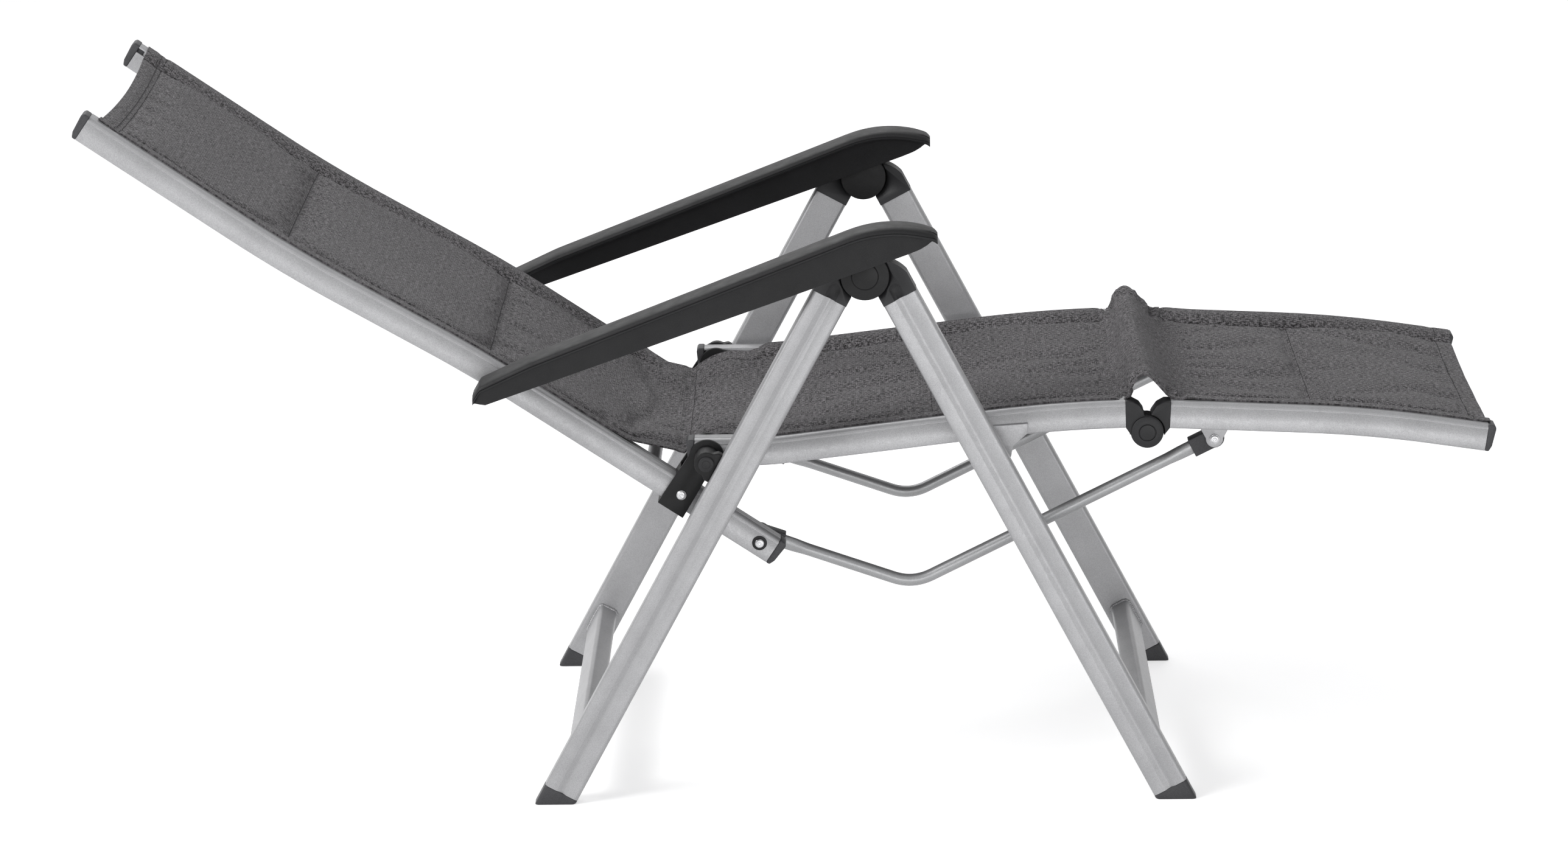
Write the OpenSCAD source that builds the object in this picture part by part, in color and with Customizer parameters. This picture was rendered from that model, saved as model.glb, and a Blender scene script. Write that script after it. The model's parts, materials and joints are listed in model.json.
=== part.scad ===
// Reclining sun lounger: a folding aluminium frame, a jointed seat with back and
// leg rest, and a padded sling held between the rails.
// Millimetres. X points to the foot end, Y to the sitter's left, Z up from the floor.
// The leg pivot, called the apex, stands at X = 0 while the sizes are worked out;
// the finished part is then moved along X so that its box is centred.

/* [Legs] */
// Width over the outer faces of the legs
leg_span = 615; // [590:1:660]
// Height of the apex pivot above the floor
apex_h = 655.5; // [635:0.5:700]
// Slope of the rear legs against the floor, in degrees
rear_slope = 61.5; // [59:0.5:64]
// Slope of the front legs against the floor, in degrees
front_slope = 62.2; // [60:0.2:64]
// Depth of the leg profile, seen from the side
leg_w = 44; // [40:1:48]
// Thickness of the leg profile across the lounger
leg_t = 25; // [24:1:28]
// Wall of the leg profile
leg_wall = 2; // [1.5:0.1:2.5]
// Corner radius of the leg profile
leg_corner = 5; // [3:0.5:6]
// Width of the groove down the outer face of a leg
groove_w = 14; // [10:1:16]
// Depth of that groove
groove_d = 2.5; // [1.5:0.1:3]
// Gap between the front and rear legs when they lie folded side by side
leg_gap = 4; // [3:0.5:6]
// Height of the lowest corner of a leg tube above the floor
foot_edge = 4.5; // [3:0.5:8]
// Distance from the end of a leg tube up to the middle of its stretcher
stretcher_up = 53; // [45:1:70]
// Depth of the stretchers along the legs
stretcher_h = 42; // [30:1:46]

/* [Apex] */
// Distance from the apex pivot to the end of a leg tube
knuckle_len = 44; // [42:1:50]
// Radius of the round cover on the apex
cover_r = 29; // [26:0.5:30]
// Radius of the steel hinge pins
pin_r = 5; // [4:0.5:6]

/* [Seat] */
// Distance down the rear leg from the apex to the seat hinge
hinge_drop = 295.8; // [285:0.1:305]
// Distance of the seat hinge from the rear face of the leg
hinge_out = 12.5; // [11:0.5:14]
// Horizontal distance from the seat hinge to the knee hinge
knee_reach = 531; // [515:1:545]
// Height of the knee hinge above the seat hinge
knee_rise = 24.5; // [20:0.5:30]
// Height of the rail's top face above the seat hinge
seat_rise = 20; // [19:0.5:22]
// Length of rail behind the seat hinge
seat_stub = 15; // [12:0.5:16]
// Level length of rail in front of the seat hinge
seat_flat = 72; // [60:1:90]
// Distance of the front leg's support stud down the leg
stud_drop = 276; // [270:1:282]

/* [Knee] */
// Distance from the knee hinge back to the end of the seat rails
knee_back = 26.5; // [24:0.5:30]
// Height of the seat rail's end above the knee hinge
knee_top = 37.8; // [36:0.2:40]
// Distance from the knee hinge back to the bend of the seat rails
knee_bend = 114; // [100:1:130]
// Height of that bend above the knee hinge
knee_bend_rise = 35.7; // [33:0.1:38]
// Distance from the knee hinge to the start of the leg rest rails
rest_front = 28.8; // [26:0.2:32]
// Height of the leg rest rail's start above the knee hinge
rest_top = 36.9; // [35:0.1:39]

/* [Back] */
// Distance from the seat hinge to the front face of the back rails
back_drop = 40; // [39:0.5:44]
// Slope of the lower stretch of the back, in degrees
back_slope = 33.8; // [30:0.2:37]
// Length of back rail below the seat hinge
back_tail = 132; // [126:1:140]
// Length of the lower stretch above the seat hinge
back_low = 296; // [285:1:320]
// Length of the middle stretch
back_mid = 254; // [240:1:280]
// Slope of the middle stretch, in degrees
back_mid_slope = 29.9; // [27:0.1:33]
// Length of the top stretch
back_top = 291; // [270:1:310]
// Slope of the top stretch, in degrees
back_top_slope = 34.6; // [31:0.1:37]
// Distance of the latch pins up the back from the seat hinge
latch_up = 266; // [250:1:280]

/* [Leg rest] */
// Distance from the knee hinge to the bend of the leg rest rails
rest_bend = 270; // [250:1:285]
// Height of that bend above the knee hinge
rest_bend_rise = 25.6; // [20:0.2:32]
// Distance from the knee hinge to the end of the leg rest rails
rest_reach = 411; // [400:1:418]
// Height of the rail end's top face above the knee hinge
rest_end_rise = 4.5; // [0:0.5:12]

/* [Rails] */
// Gap between the legs and the rails
rail_clear = 27.5; // [26.5:0.5:34]
// Height of the rail profile
rail_h = 33; // [30:1:34]
// Width of the rail profile
rail_w = 28; // [24:1:30]
// Wall of the rail profile
rail_wall = 2; // [1.5:0.1:2.5]
// Outer radius of the cross tubes between the rails
tube_r = 9; // [7:0.5:10]
// Length that a rail's end cap stands out
cap_len = 10; // [6:0.5:14]

/* [Armrests] */
// Width of an armrest
arm_w = 55; // [50:1:60]
// Distance that an armrest stands out past the legs
arm_out = 17.5; // [15:0.5:20]
// Thickness of the armrest's top plate
arm_top_t = 7; // [5:0.5:8]
// Distance from the apex to the rear end of an armrest
arm_back = 470; // [450:1:480]
// Height of the armrest's peak above the apex
arm_rise = 69; // [64:0.5:72]
// Distance of that peak in front of the apex
arm_peak = 29; // [24:1:34]
// Distance of the armrest's nose in front of the apex
arm_nose = 87; // [80:1:92]
// Depth below the apex where the armrest starts to droop at the rear
arm_drop = 97.5; // [90:0.5:104]
// Wall of the armrest's hollow underside
arm_wall = 3; // [2:0.5:4]

/* [Link rods] */
// Outer radius of the link rods
rod_r = 7.5; // [6:0.5:8]
// Distance of the rod's rear pivot below the seat hinge, along the back rail
rod_tail = 112.4; // [106:0.2:115]
// Distance of the rod's front pivot in front of the knee hinge
rod_front = 82.8; // [78:0.2:88]
// Depth of the rod's front pivot below the knee hinge
rod_front_drop = 17; // [14:0.5:22]
// Distance from the knee hinge back to the bend of the rods
rod_bend_back = 283; // [260:1:300]
// Depth of the bend of the rods below the knee hinge
rod_bend_drop = 199; // [180:1:210]

/* [Sling] */
// Thickness of the padded sling
sling_t = 6; // [4:0.5:8]
// Sag of the sling in the middle
sling_sag = 4.5; // [3:0.5:6]
// Depth of the sling's edges below the top of the rails
sling_drop = 3; // [1:0.5:4]
// Height of the sling's fold above the knee hinge
fold_rise = 68; // [55:1:75]

/* [Hidden] */
$fn = 64;
ALUMINIUM = "#b9babb";
PLASTIC = "#3c3d3f";
STEEL = "#a7a8aa";
SLING = "#565458";
fit = 0.3;           // gap of pieces that are pushed together or lie close
running = 0.05;      // radial clearance of a pin in its bore
cut = 1;             // length by which a cutting shape runs past a face

// Distances from the middle plane, for the left side
leg_y1 = leg_span / 2;
leg_y0 = leg_y1 - leg_t;
leg_y = (leg_y0 + leg_y1) / 2;
rail_y1 = leg_y0 - rail_clear;
rail_y0 = rail_y1 - rail_w;
rail_y = (rail_y0 + rail_y1) / 2;
arm_y1 = leg_y1 + arm_out;
arm_y0 = arm_y1 - arm_w;
ear_t = 5.5;         // thickness of the ears that straddle the seat rail
ear_gap = 0.7;       // gap between an ear and the seat rail
ear_y1 = rail_y1 + ear_gap + ear_t;
ear_y0 = rail_y0 - ear_gap - ear_t;

// Pivots in the side plane, as [X, Z] with the apex at X = 0
rear_tilt = 90 - rear_slope;
front_tilt = 90 - front_slope;
leg_off = (leg_w + leg_gap) / 2;
apex = [0, apex_h];
function rear_point(x, s) = apex + [x * cos(rear_tilt) - s * sin(rear_tilt),
                                    -x * sin(rear_tilt) - s * cos(rear_tilt)];
function front_point(x, s) = apex + [x * cos(front_tilt) + s * sin(front_tilt),
                                     x * sin(front_tilt) - s * cos(front_tilt)];
hinge_x = -(leg_w + leg_gap / 2 + hinge_out);
hinge = rear_point(hinge_x, hinge_drop);
knee = hinge + [knee_reach, knee_rise];
stud_x = leg_off + 14;
stud = front_point(stud_x, stud_drop);
rear_len = (apex_h + leg_gap / 2 * sin(rear_tilt) - foot_edge) / cos(rear_tilt);
front_len = (apex_h + leg_gap / 2 * sin(front_tilt) - foot_edge) / cos(front_tilt);

// Points and directions of the back, x down the rail and z out of its front face
function back_point(x, z) = hinge + [x * cos(back_slope) + z * sin(back_slope),
                                     -x * sin(back_slope) + z * cos(back_slope)];
rail_mid = back_drop + rail_h / 2;
rod_rear = back_point(rod_tail, -rail_mid);
rod_fore = knee + [rod_front, -rod_front_drop];
rod_bend = knee - [rod_bend_back, rod_bend_drop];
latch = back_point(-latch_up, -rail_mid);

// Paths in the side plane
function unit(v) = v / norm(v);
function left(v) = [-v[1], v[0]];
function turned(v, a) = [v[0] * cos(a) - v[1] * sin(a), v[0] * sin(a) + v[1] * cos(a)];
function turn_of(a, b) = atan2(a[0] * b[1] - a[1] * b[0], a[0] * b[0] + a[1] * b[1]);
// The rounded corner at b, with the radius limited by the room before and after it
function corner(a, b, c, radius, room_a, room_c, n) =
    let (d = unit(b - a), turn = turn_of(d, unit(c - b)), way = sign(turn),
         room = min(room_a * norm(b - a), room_c * norm(c - b)),
         r = min(radius, room / tan(abs(turn) / 2)),
         start = b - d * r * tan(abs(turn) / 2), centre = start + left(d) * r * way)
    [for (i = [0:n]) centre + turned(-left(d) * r * way, turn * i / n)];
// A path through the points p whose corners have the radii r
function bent(p, r, n = 8) =
    let (last = len(p) - 2)
    [p[0], for (i = [1:last]) each corner(p[i - 1], p[i], p[i + 1], r[i - 1],
        i == 1 ? 0.97 : 0.49, i == last ? 0.97 : 0.49, n),
     p[last + 1]];
function reversed(p) = [for (i = [len(p) - 1:-1:0]) p[i]];
function seg(p, i) = unit(p[min(i, len(p) - 2) + 1] - p[min(i, len(p) - 2)]);
function offset_path(p, d) =
    [for (i = [0:len(p) - 1])
        let (n0 = left(seg(p, max(i - 1, 0))), n1 = left(seg(p, i)), n = unit(n0 + n1))
        p[i] + n * d / (n * n1)];
function band(p, d0, d1) = concat(offset_path(p, d1), reversed(offset_path(p, d0)));
function first_dir(p) = -seg(p, 0);
function last_dir(p) = seg(p, len(p) - 2);
function longer(p, e) =
    concat([p[0] + first_dir(p) * e], [for (i = [1:len(p) - 2]) p[i]],
           [p[len(p) - 1] + last_dir(p) * e]);
function height_at(p, x, i = 0) =
    (i >= len(p) - 2 || x <= p[i + 1][0])
        ? p[i][1] + (p[i + 1][1] - p[i][1]) * (x - p[i][0]) / (p[i + 1][0] - p[i][0])
        : height_at(p, x, i + 1);

// Top faces of the rails, each path running towards the foot end
back_b1 = back_point(-back_low, -back_drop);
back_b2 = back_b1 + back_mid * [-cos(back_mid_slope), sin(back_mid_slope)];
back_b3 = back_b2 + back_top * [-cos(back_top_slope), sin(back_top_slope)];
back_path = bent([back_b3, back_b2, back_b1, back_point(back_tail, -back_drop)], [1800, 1800]);
seat_path = bent([hinge + [-seat_stub, seat_rise], hinge + [seat_flat, seat_rise],
                  knee + [-knee_bend, knee_bend_rise], knee + [-knee_back, knee_top]],
                 [400, 1750]);
rest_path = bent([knee + [rest_front, rest_top], knee + [rest_bend, rest_bend_rise],
                  knee + [rest_reach, rest_end_rise]], [1500]);

// The cap's rounded outline past a rail's end, from the top face to the bottom face
function cap_outline(e, d, n) =
    [e, e + d * cap_len * 0.75, e + d * cap_len - n * 3.5,
     e + d * (cap_len - 2) - n * (rail_h - 7), e + d * cap_len * 0.5 - n * rail_h,
     e - n * rail_h];
back_cap = cap_outline(back_path[0], first_dir(back_path), -left(first_dir(back_path)));
rest_cap = cap_outline(rest_path[len(rest_path) - 1], last_dir(rest_path),
                       left(last_dir(rest_path)));
low_cap = cap_outline(back_path[len(back_path) - 1], last_dir(back_path),
                      left(last_dir(back_path)));
stub_cap = cap_outline(seat_path[0], first_dir(seat_path), -left(first_dir(seat_path)));

// Middle of the whole part along X
mid_x = (min([for (p = back_cap) p[0]]) + max([for (p = rest_cap) p[0]])) / 2;

// ---------------------------------------------------------------- placing
module centred() translate([-mid_x, 0, 0]) children();
module left_side() centred() children();
module right_side() centred() mirror([0, 1, 0]) children();
module both_sides() {
    left_side() children();
    right_side() children();
}
module at(p) translate([p[0], 0, p[1]]) children();
module rear_frame() at(apex) rotate([0, rear_tilt, 0]) children();
module front_frame() at(apex) rotate([0, -front_tilt, 0]) children();
module back_frame() at(hinge) rotate([0, back_slope, 0]) children();
// An outline in the side plane, given thickness from y0 to y1
module slab(y0, y1) translate([0, y1, 0]) rotate([90, 0, 0]) linear_extrude(y1 - y0) children();
// A round bar across the lounger, from y0 to y1
module bar(r, y0, y1) translate([0, y0, 0]) rotate([-90, 0, 0]) cylinder(r = r, h = y1 - y0);
module rounded(w, h, r) {
    square([w - 2 * r, h], center = true);
    square([w, h - 2 * r], center = true);
    for (x = [-1, 1], y = [-1, 1]) translate([x * (w / 2 - r), y * (h / 2 - r)]) circle(r);
}

// ---------------------------------------------------------------- legs
groove_r = (groove_w * groove_w / 4 + groove_d * groove_d) / (2 * groove_d);
groove_y = leg_t / 2 + groove_r - groove_d;
plug_w = leg_w - 2 * leg_wall - 2 * fit;
plug_t = leg_t - 2 * leg_wall - groove_d - 2 * fit;
plug_len = 30;       // length of a plug inside its tube
module leg_profile() {
    difference() {
        rounded(leg_w, leg_t, leg_corner);
        translate([0, groove_y]) circle(groove_r);
        difference() {
            square([leg_w - 2 * leg_wall, leg_t - 2 * leg_wall], center = true);
            translate([-groove_w / 2 - leg_wall, leg_t / 2 - leg_wall - groove_d])
                square([groove_w + 2 * leg_wall, groove_d + cut]);
        }
    }
}
// A plug that fills the leg tube below its groove, from height z upwards
module leg_plug(z) {
    translate([-plug_w / 2, -leg_t / 2 + leg_wall + fit, z]) cube([plug_w, plug_t, plug_len]);
}
module leg(length, way) {
    translate([way * leg_off, leg_y, -length])
        linear_extrude(length - knuckle_len) leg_profile();
}
module rear_leg() rear_frame() leg(rear_len, -1);
module front_leg() front_frame() leg(front_len, 1);
module rear_leg_left() color(ALUMINIUM) left_side() rear_leg();
module rear_leg_right() color(ALUMINIUM) right_side() rear_leg();
module front_leg_left() color(ALUMINIUM) left_side() front_leg();
module front_leg_right() color(ALUMINIUM) right_side() front_leg();

module stretcher(length, way) {
    translate([way * leg_off, 0, stretcher_up - length]) rotate([90, 0, 0])
        linear_extrude(2 * leg_y0, center = true) difference() {
            rounded(leg_t, stretcher_h, leg_corner);
            rounded(leg_t - 2 * leg_wall, stretcher_h - 2 * leg_wall, leg_corner - leg_wall);
        }
}
module rear_stretcher() color(ALUMINIUM) centred() rear_frame() stretcher(rear_len, -1);
module front_stretcher() color(ALUMINIUM) centred() front_frame() stretcher(front_len, 1);

// The foot closes the tube and is cut level with the floor
module foot_body(length, way) {
    translate([way * leg_off, leg_y, -length]) {
        translate([0, 0, -leg_w]) linear_extrude(leg_w) rounded(leg_w, leg_t, leg_corner);
        leg_plug(0);
    }
}
module above_floor() {
    intersection() {
        children();
        translate([-knee_reach * 2, 0, 0]) cube([knee_reach * 4, arm_y1, apex_h]);
    }
}
module rear_foot() above_floor() rear_frame() foot_body(rear_len, -1);
module front_foot() above_floor() front_frame() foot_body(front_len, 1);
module rear_foot_left() color(PLASTIC) left_side() rear_foot();
module rear_foot_right() color(PLASTIC) right_side() rear_foot();
module front_foot_left() color(PLASTIC) left_side() front_foot();
module front_foot_right() color(PLASTIC) right_side() front_foot();

// ---------------------------------------------------------------- apex
skin = 0.5;          // the knuckles stand proud of the leg by this much
knuckle_y0 = leg_y0 - skin;
knuckle_y1 = leg_y1 + skin;
lug_gap = fit;
lug_t = (leg_t - 2 * lug_gap) / 3;
rear_lug = [leg_y0, leg_y0 + lug_t];
arm_lug = [rear_lug[1] + lug_gap, rear_lug[1] + lug_gap + lug_t];
front_lug = [arm_lug[1] + lug_gap, leg_y1];
shoulder_r = 47.5;   // radius of the knuckle's outer shoulder
shoulder_z = -32;    // height of that shoulder's middle, against the apex
module knuckle_outline(way) {
    intersection() {
        translate([way > 0 ? leg_gap / 2 : -leg_gap / 2 - leg_w, -knuckle_len])
            square([leg_w, knuckle_len * 2]);
        translate([0, shoulder_z]) circle(shoulder_r);
    }
}
module knuckle(way, lug) {
    difference() {
        union() {
            slab(knuckle_y0, knuckle_y1) knuckle_outline(way);
            bar(cover_r, lug[0], lug[1]);
            translate([way * leg_off, leg_y, -knuckle_len - plug_len]) leg_plug(0);
        }
        if (lug[0] > leg_y0) bar(cover_r + 1.5, knuckle_y0 - cut, lug[0]);
        if (lug[1] < leg_y1) bar(cover_r + 1.5, lug[1], knuckle_y1 + cut);
        bar(cover_r + 1.5, lug[1] < leg_y1 ? knuckle_y0 - cut : leg_y1,
            lug[1] < leg_y1 ? leg_y0 : knuckle_y1 + cut);
        bar(pin_r + running, knuckle_y0 - cut, knuckle_y1 + cut);
        // The leg's groove runs out in a rounded end
        translate([way * leg_off, leg_y + groove_y, -knuckle_len - cut])
            cylinder(r = groove_r, h = cut + 12);
        translate([way * leg_off, leg_y + groove_y, 12 - knuckle_len]) sphere(groove_r);
    }
}
module rear_knuckle_left() color(PLASTIC) left_side() rear_frame() knuckle(-1, rear_lug);
module rear_knuckle_right() color(PLASTIC) right_side() rear_frame() knuckle(-1, rear_lug);
module front_knuckle_left() color(PLASTIC) left_side() front_frame() knuckle(1, front_lug);
module front_knuckle_right() color(PLASTIC) right_side() front_frame() knuckle(1, front_lug);

cover_t = 4;         // thickness of an apex cover
module apex_pins() color(STEEL) both_sides() at(apex) bar(pin_r, leg_y0 - fit, leg_y1 + fit);
module apex_covers() {
    color(PLASTIC) both_sides() at(apex) {
        bar(cover_r, leg_y0 - fit - cover_t, leg_y0 - fit);
        bar(cover_r, leg_y1 + fit, leg_y1 + fit + cover_t);
        bar(cover_r * 0.55, leg_y1 + fit, leg_y1 + fit + cover_t + 1);
    }
}

// ---------------------------------------------------------------- seat hinge
barrel_r = 14.5;     // radius of the hinge barrel on the rear leg
barrel_y1 = leg_y1 - 11.5;
flange_l = 38;       // length of the flange on the leg
flange_t = 6;        // thickness of that flange
button_r = 9;        // radius of a hinge pin's head
button_t = 2.5;      // thickness of that head
module hinge_block() {
    rear_frame() difference() {
        union() {
            translate([hinge_x, 0, -hinge_drop]) bar(barrel_r, ear_y1 + fit, barrel_y1);
            slab(leg_y0 + fit, barrel_y1) translate([0, -hinge_drop]) polygon([
                [hinge_x + hinge_out, flange_l / 2], [hinge_x + hinge_out - flange_t, flange_l / 2],
                [hinge_x, barrel_r * 0.9], [hinge_x, -barrel_r * 0.9],
                [hinge_x + hinge_out - flange_t, -flange_l / 2], [hinge_x + hinge_out, -flange_l / 2]]);
        }
        translate([hinge_x, 0, -hinge_drop]) bar(pin_r + running, ear_y1, barrel_y1 + cut);
        translate([hinge_x + hinge_out, leg_y0 - fit, -hinge_drop - leg_w])
            cube([leg_w, leg_t, 2 * leg_w]);
    }
}
module hinge_block_left() color(PLASTIC) left_side() hinge_block();
module hinge_block_right() color(PLASTIC) right_side() hinge_block();
module seat_hinge_pins() {
    color(STEEL) both_sides() at(hinge) {
        bar(pin_r, ear_y0 - fit, barrel_y1);
        bar(button_r, barrel_y1, barrel_y1 + button_t);
        bar(pin_r + 2, ear_y0 - fit - 1.3, ear_y0 - fit);
    }
}

// ---------------------------------------------------------------- support stud and hook
washer_t = 2.8;      // space that the rod rivets' heads take on the rail's outer face
stud_y0 = rail_y1 + washer_t + fit;
hook_y1 = stud_y0 + 3.5;
module support_studs() color(STEEL) both_sides() at(stud) bar(pin_r, stud_y0, leg_y0);
module support_hooks() {
    rail_under = height_at(seat_path, stud[0]) - rail_h - stud[1];
    color(ALUMINIUM) both_sides() at(stud) difference() {
        union() {
            slab(rail_y1, hook_y1) polygon([
                [-30, rail_under + 2], [32, rail_under + 6], [32, rail_under + 18],
                [-30, rail_under + 14]]);
            slab(stud_y0, hook_y1) polygon([
                [-30, rail_under + 2], [32, rail_under + 6], [14, 4], [12, -9], [-9, -9]]);
        }
        bar(pin_r + fit, stud_y0 - cut, hook_y1 + cut);
        slab(stud_y0 - cut, hook_y1 + cut) rotate(-23) polygon([
            [-pin_r - fit, 0], [-pin_r - 3, -4 * pin_r], [pin_r + 3, -4 * pin_r],
            [pin_r + fit, 0]]);
    }
}

// ---------------------------------------------------------------- rails
module rail(path) {
    slab(rail_y0, rail_y1) polygon(band(path, -rail_h, 0));
}
module rail_hollow(path) {
    slab(rail_y0 + rail_wall, rail_y1 - rail_wall)
        polygon(band(longer(path, cut), rail_wall - rail_h, -rail_wall));
}
cap_plug = 9;        // length of a cap's plug inside its rail
// A cap pushed into a rail's end at point e, with the end's direction d and up side n
module rail_cap(outline, e, d, n) {
    plug_top = rail_wall + fit;
    plug_low = rail_h - rail_wall - fit;
    slab(rail_y0, rail_y1) polygon(outline);
    slab(rail_y0 + rail_wall + fit, rail_y1 - rail_wall - fit) polygon([
        e + d * 2 - n * plug_top, e + d * 2 - n * plug_low,
        e - d * cap_plug - n * (plug_low - 1), e - d * cap_plug - n * (plug_top + 1)]);
}
module cross_tube(p) {
    centred() at(p) difference() {
        bar(tube_r, -rail_y0, rail_y0);
        bar(tube_r - rail_wall, -rail_y0 - cut, rail_y0 + cut);
    }
}
// Middle of a cross tube at X = x, low between the rails
function tube_point(path, x) = [x, height_at(offset_path(path, tube_r + 0.2 - rail_h), x)];

module seat_rail() {
    difference() {
        rail(seat_path);
        rail_hollow(seat_path);
        at(hinge) bar(pin_r + running, rail_y0 - cut, rail_y1 + cut);
    }
}
module seat_rail_left() color(ALUMINIUM) left_side() seat_rail();
module seat_rail_right() color(ALUMINIUM) right_side() seat_rail();
module seat_rear_caps() {
    d = first_dir(seat_path);
    color(PLASTIC) both_sides() rail_cap(stub_cap, seat_path[0], d, -left(d));
}
module seat_rear_tube() color(ALUMINIUM) cross_tube(tube_point(seat_path, hinge[0] + 79));
module seat_front_tube() color(ALUMINIUM) cross_tube(tube_point(seat_path, knee[0] - 48));

// ---------------------------------------------------------------- knee hinge
knee_r = 20;         // radius of the knee hinge
tongue_y = [rail_y0 + rail_w / 3 + fit, rail_y1 - rail_w / 3 - fit];
knee_gap = 2.2;      // half of the gap between the two knee blocks
// Side outline of a knee block that carries on a rail from its end face, between the
// points top and low, and runs out in a curved shoulder
module knee_outline(top, low) {
    polygon([top, top + [knee_r * 0.4, 0], top + [knee_r * 0.85, -knee_r / 4],
             top + [knee_r * 1.1, -knee_r * 0.6], [-knee_gap, knee_r * 0.85], [-knee_gap, 0],
             [-knee_r * 0.6, -knee_r * 0.75], low]);
}
function flipped(p) = [-p[0], p[1]];
yoke_top = [-knee_back, knee_top];
yoke_low = yoke_top - left(last_dir(seat_path)) * rail_h;
tongue_top = [rest_front, rest_top];
tongue_low = tongue_top + left(first_dir(rest_path)) * rail_h;
module knee_yoke() {
    at(knee) difference() {
        union() {
            slab(rail_y0, rail_y1) knee_outline(yoke_top, yoke_low);
            bar(knee_r, rail_y0, tongue_y[0] - fit);
            bar(knee_r, tongue_y[1] + fit, rail_y1);
        }
        bar(knee_r + 0.7, tongue_y[0] - fit, tongue_y[1] + fit);
        bar(pin_r + running, rail_y0 - cut, rail_y1 + cut);
    }
}
module knee_yoke_left() color(PLASTIC) left_side() knee_yoke();
module knee_yoke_right() color(PLASTIC) right_side() knee_yoke();
module knee_tongue() {
    at(knee) difference() {
        union() {
            slab(rail_y0, rail_y1) mirror([1, 0])
                knee_outline(flipped(tongue_top), flipped(tongue_low));
            bar(knee_r, tongue_y[0], tongue_y[1]);
        }
        bar(knee_r + 0.7, rail_y0 - cut, tongue_y[0]);
        bar(knee_r + 0.7, tongue_y[1], rail_y1 + cut);
        bar(pin_r + running, rail_y0 - cut, rail_y1 + cut);
    }
}
module knee_tongue_left() color(PLASTIC) left_side() knee_tongue();
module knee_tongue_right() color(PLASTIC) right_side() knee_tongue();
module knee_pins() {
    color(STEEL) both_sides() at(knee) {
        bar(pin_r, rail_y0 - fit, rail_y1 + fit);
        bar(knee_r - 1, rail_y1 + fit, rail_y1 + fit + 2);
        bar(button_r, rail_y1 + fit, rail_y1 + fit + 3);
        bar(pin_r + 3, rail_y0 - fit - 2, rail_y0 - fit);
    }
}

// ---------------------------------------------------------------- back
rivet_r = 4;         // radius of the rivets' shanks
module back_rail() {
    difference() {
        rail(back_path);
        rail_hollow(back_path);
        at(rod_rear) bar(rivet_r + running, rail_y0 - cut, rail_y1 + cut);
        at(latch) bar(rivet_r, rail_y0 - cut, rail_y1 + cut);
        back_frame() translate([0, 0, -rail_mid]) bar(rivet_r, rail_y0 - cut, rail_y1 + cut);
    }
}
module back_rail_left() color(ALUMINIUM) left_side() back_rail();
module back_rail_right() color(ALUMINIUM) right_side() back_rail();

head_r = 21;         // radius of the bracket's head round the seat hinge
bracket_under = 7;   // thickness of the bracket below the back rail
bracket_front = 17;  // reach of the bracket down the rail from the hinge
slot_r = 35;         // room round the hinge for the end of the seat rail
module back_bracket() {
    difference() {
        back_frame() {
            bar(head_r, ear_y0, ear_y1);
            slab(ear_y0, ear_y1) polygon([
                [2 - head_r, 6], [bracket_front - 5, 6],
                [bracket_front, -back_drop - rail_h - bracket_under],
                [2 - head_r, -back_drop - rail_h - bracket_under]]);
        }
        at(hinge) {
            bar(slot_r, rail_y0 - ear_gap, rail_y1 + ear_gap);
            bar(pin_r + running, ear_y0 - cut, ear_y1 + cut);
        }
        slab(rail_y0 - fit, rail_y1 + fit) polygon(band(back_path, -rail_h, 0));
        back_frame() translate([0, 0, -rail_mid]) bar(rivet_r, ear_y0 - cut, ear_y1 + cut);
    }
}
module back_bracket_left() color(PLASTIC) left_side() back_bracket();
module back_bracket_right() color(PLASTIC) right_side() back_bracket();
module bracket_rivets() {
    color(STEEL) both_sides() back_frame() translate([0, 0, -rail_mid]) {
        bar(rivet_r, ear_y0, ear_y1);
        bar(rivet_r + 2, ear_y1, ear_y1 + 1.2);
        bar(rivet_r + 2, ear_y0 - 1, ear_y0);
    }
}
module back_top_caps() {
    d = first_dir(back_path);
    color(PLASTIC) both_sides() rail_cap(back_cap, back_path[0], d, -left(d));
}
module back_bottom_caps() {
    d = last_dir(back_path);
    color(PLASTIC) both_sides() rail_cap(low_cap, back_path[len(back_path) - 1], d, left(d));
}
module back_upper_tube() color(ALUMINIUM) cross_tube(tube_point(back_path, back_b3[0] + 66));
module back_lower_tube() color(ALUMINIUM) cross_tube(tube_point(back_path, hinge[0] - 68));

// The pins that drop into the armrests' racks stop short of them
module latch_pins() {
    color(STEEL) both_sides() at(latch) {
        bar(rivet_r, rail_y0 - 1, arm_y0 - 1.5);
        bar(rivet_r + 2, rail_y1, rail_y1 + 2);
    }
}

// ---------------------------------------------------------------- leg rest
module legrest_rail() {
    difference() {
        rail(rest_path);
        rail_hollow(rest_path);
    }
}
module legrest_rail_left() color(ALUMINIUM) left_side() legrest_rail();
module legrest_rail_right() color(ALUMINIUM) right_side() legrest_rail();
module legrest_tube() color(ALUMINIUM) cross_tube(tube_point(rest_path, knee[0] + 48));
module legrest_end_caps() {
    d = last_dir(rest_path);
    color(PLASTIC) both_sides() rail_cap(rest_cap, rest_path[len(rest_path) - 1], d, left(d));
}

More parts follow.
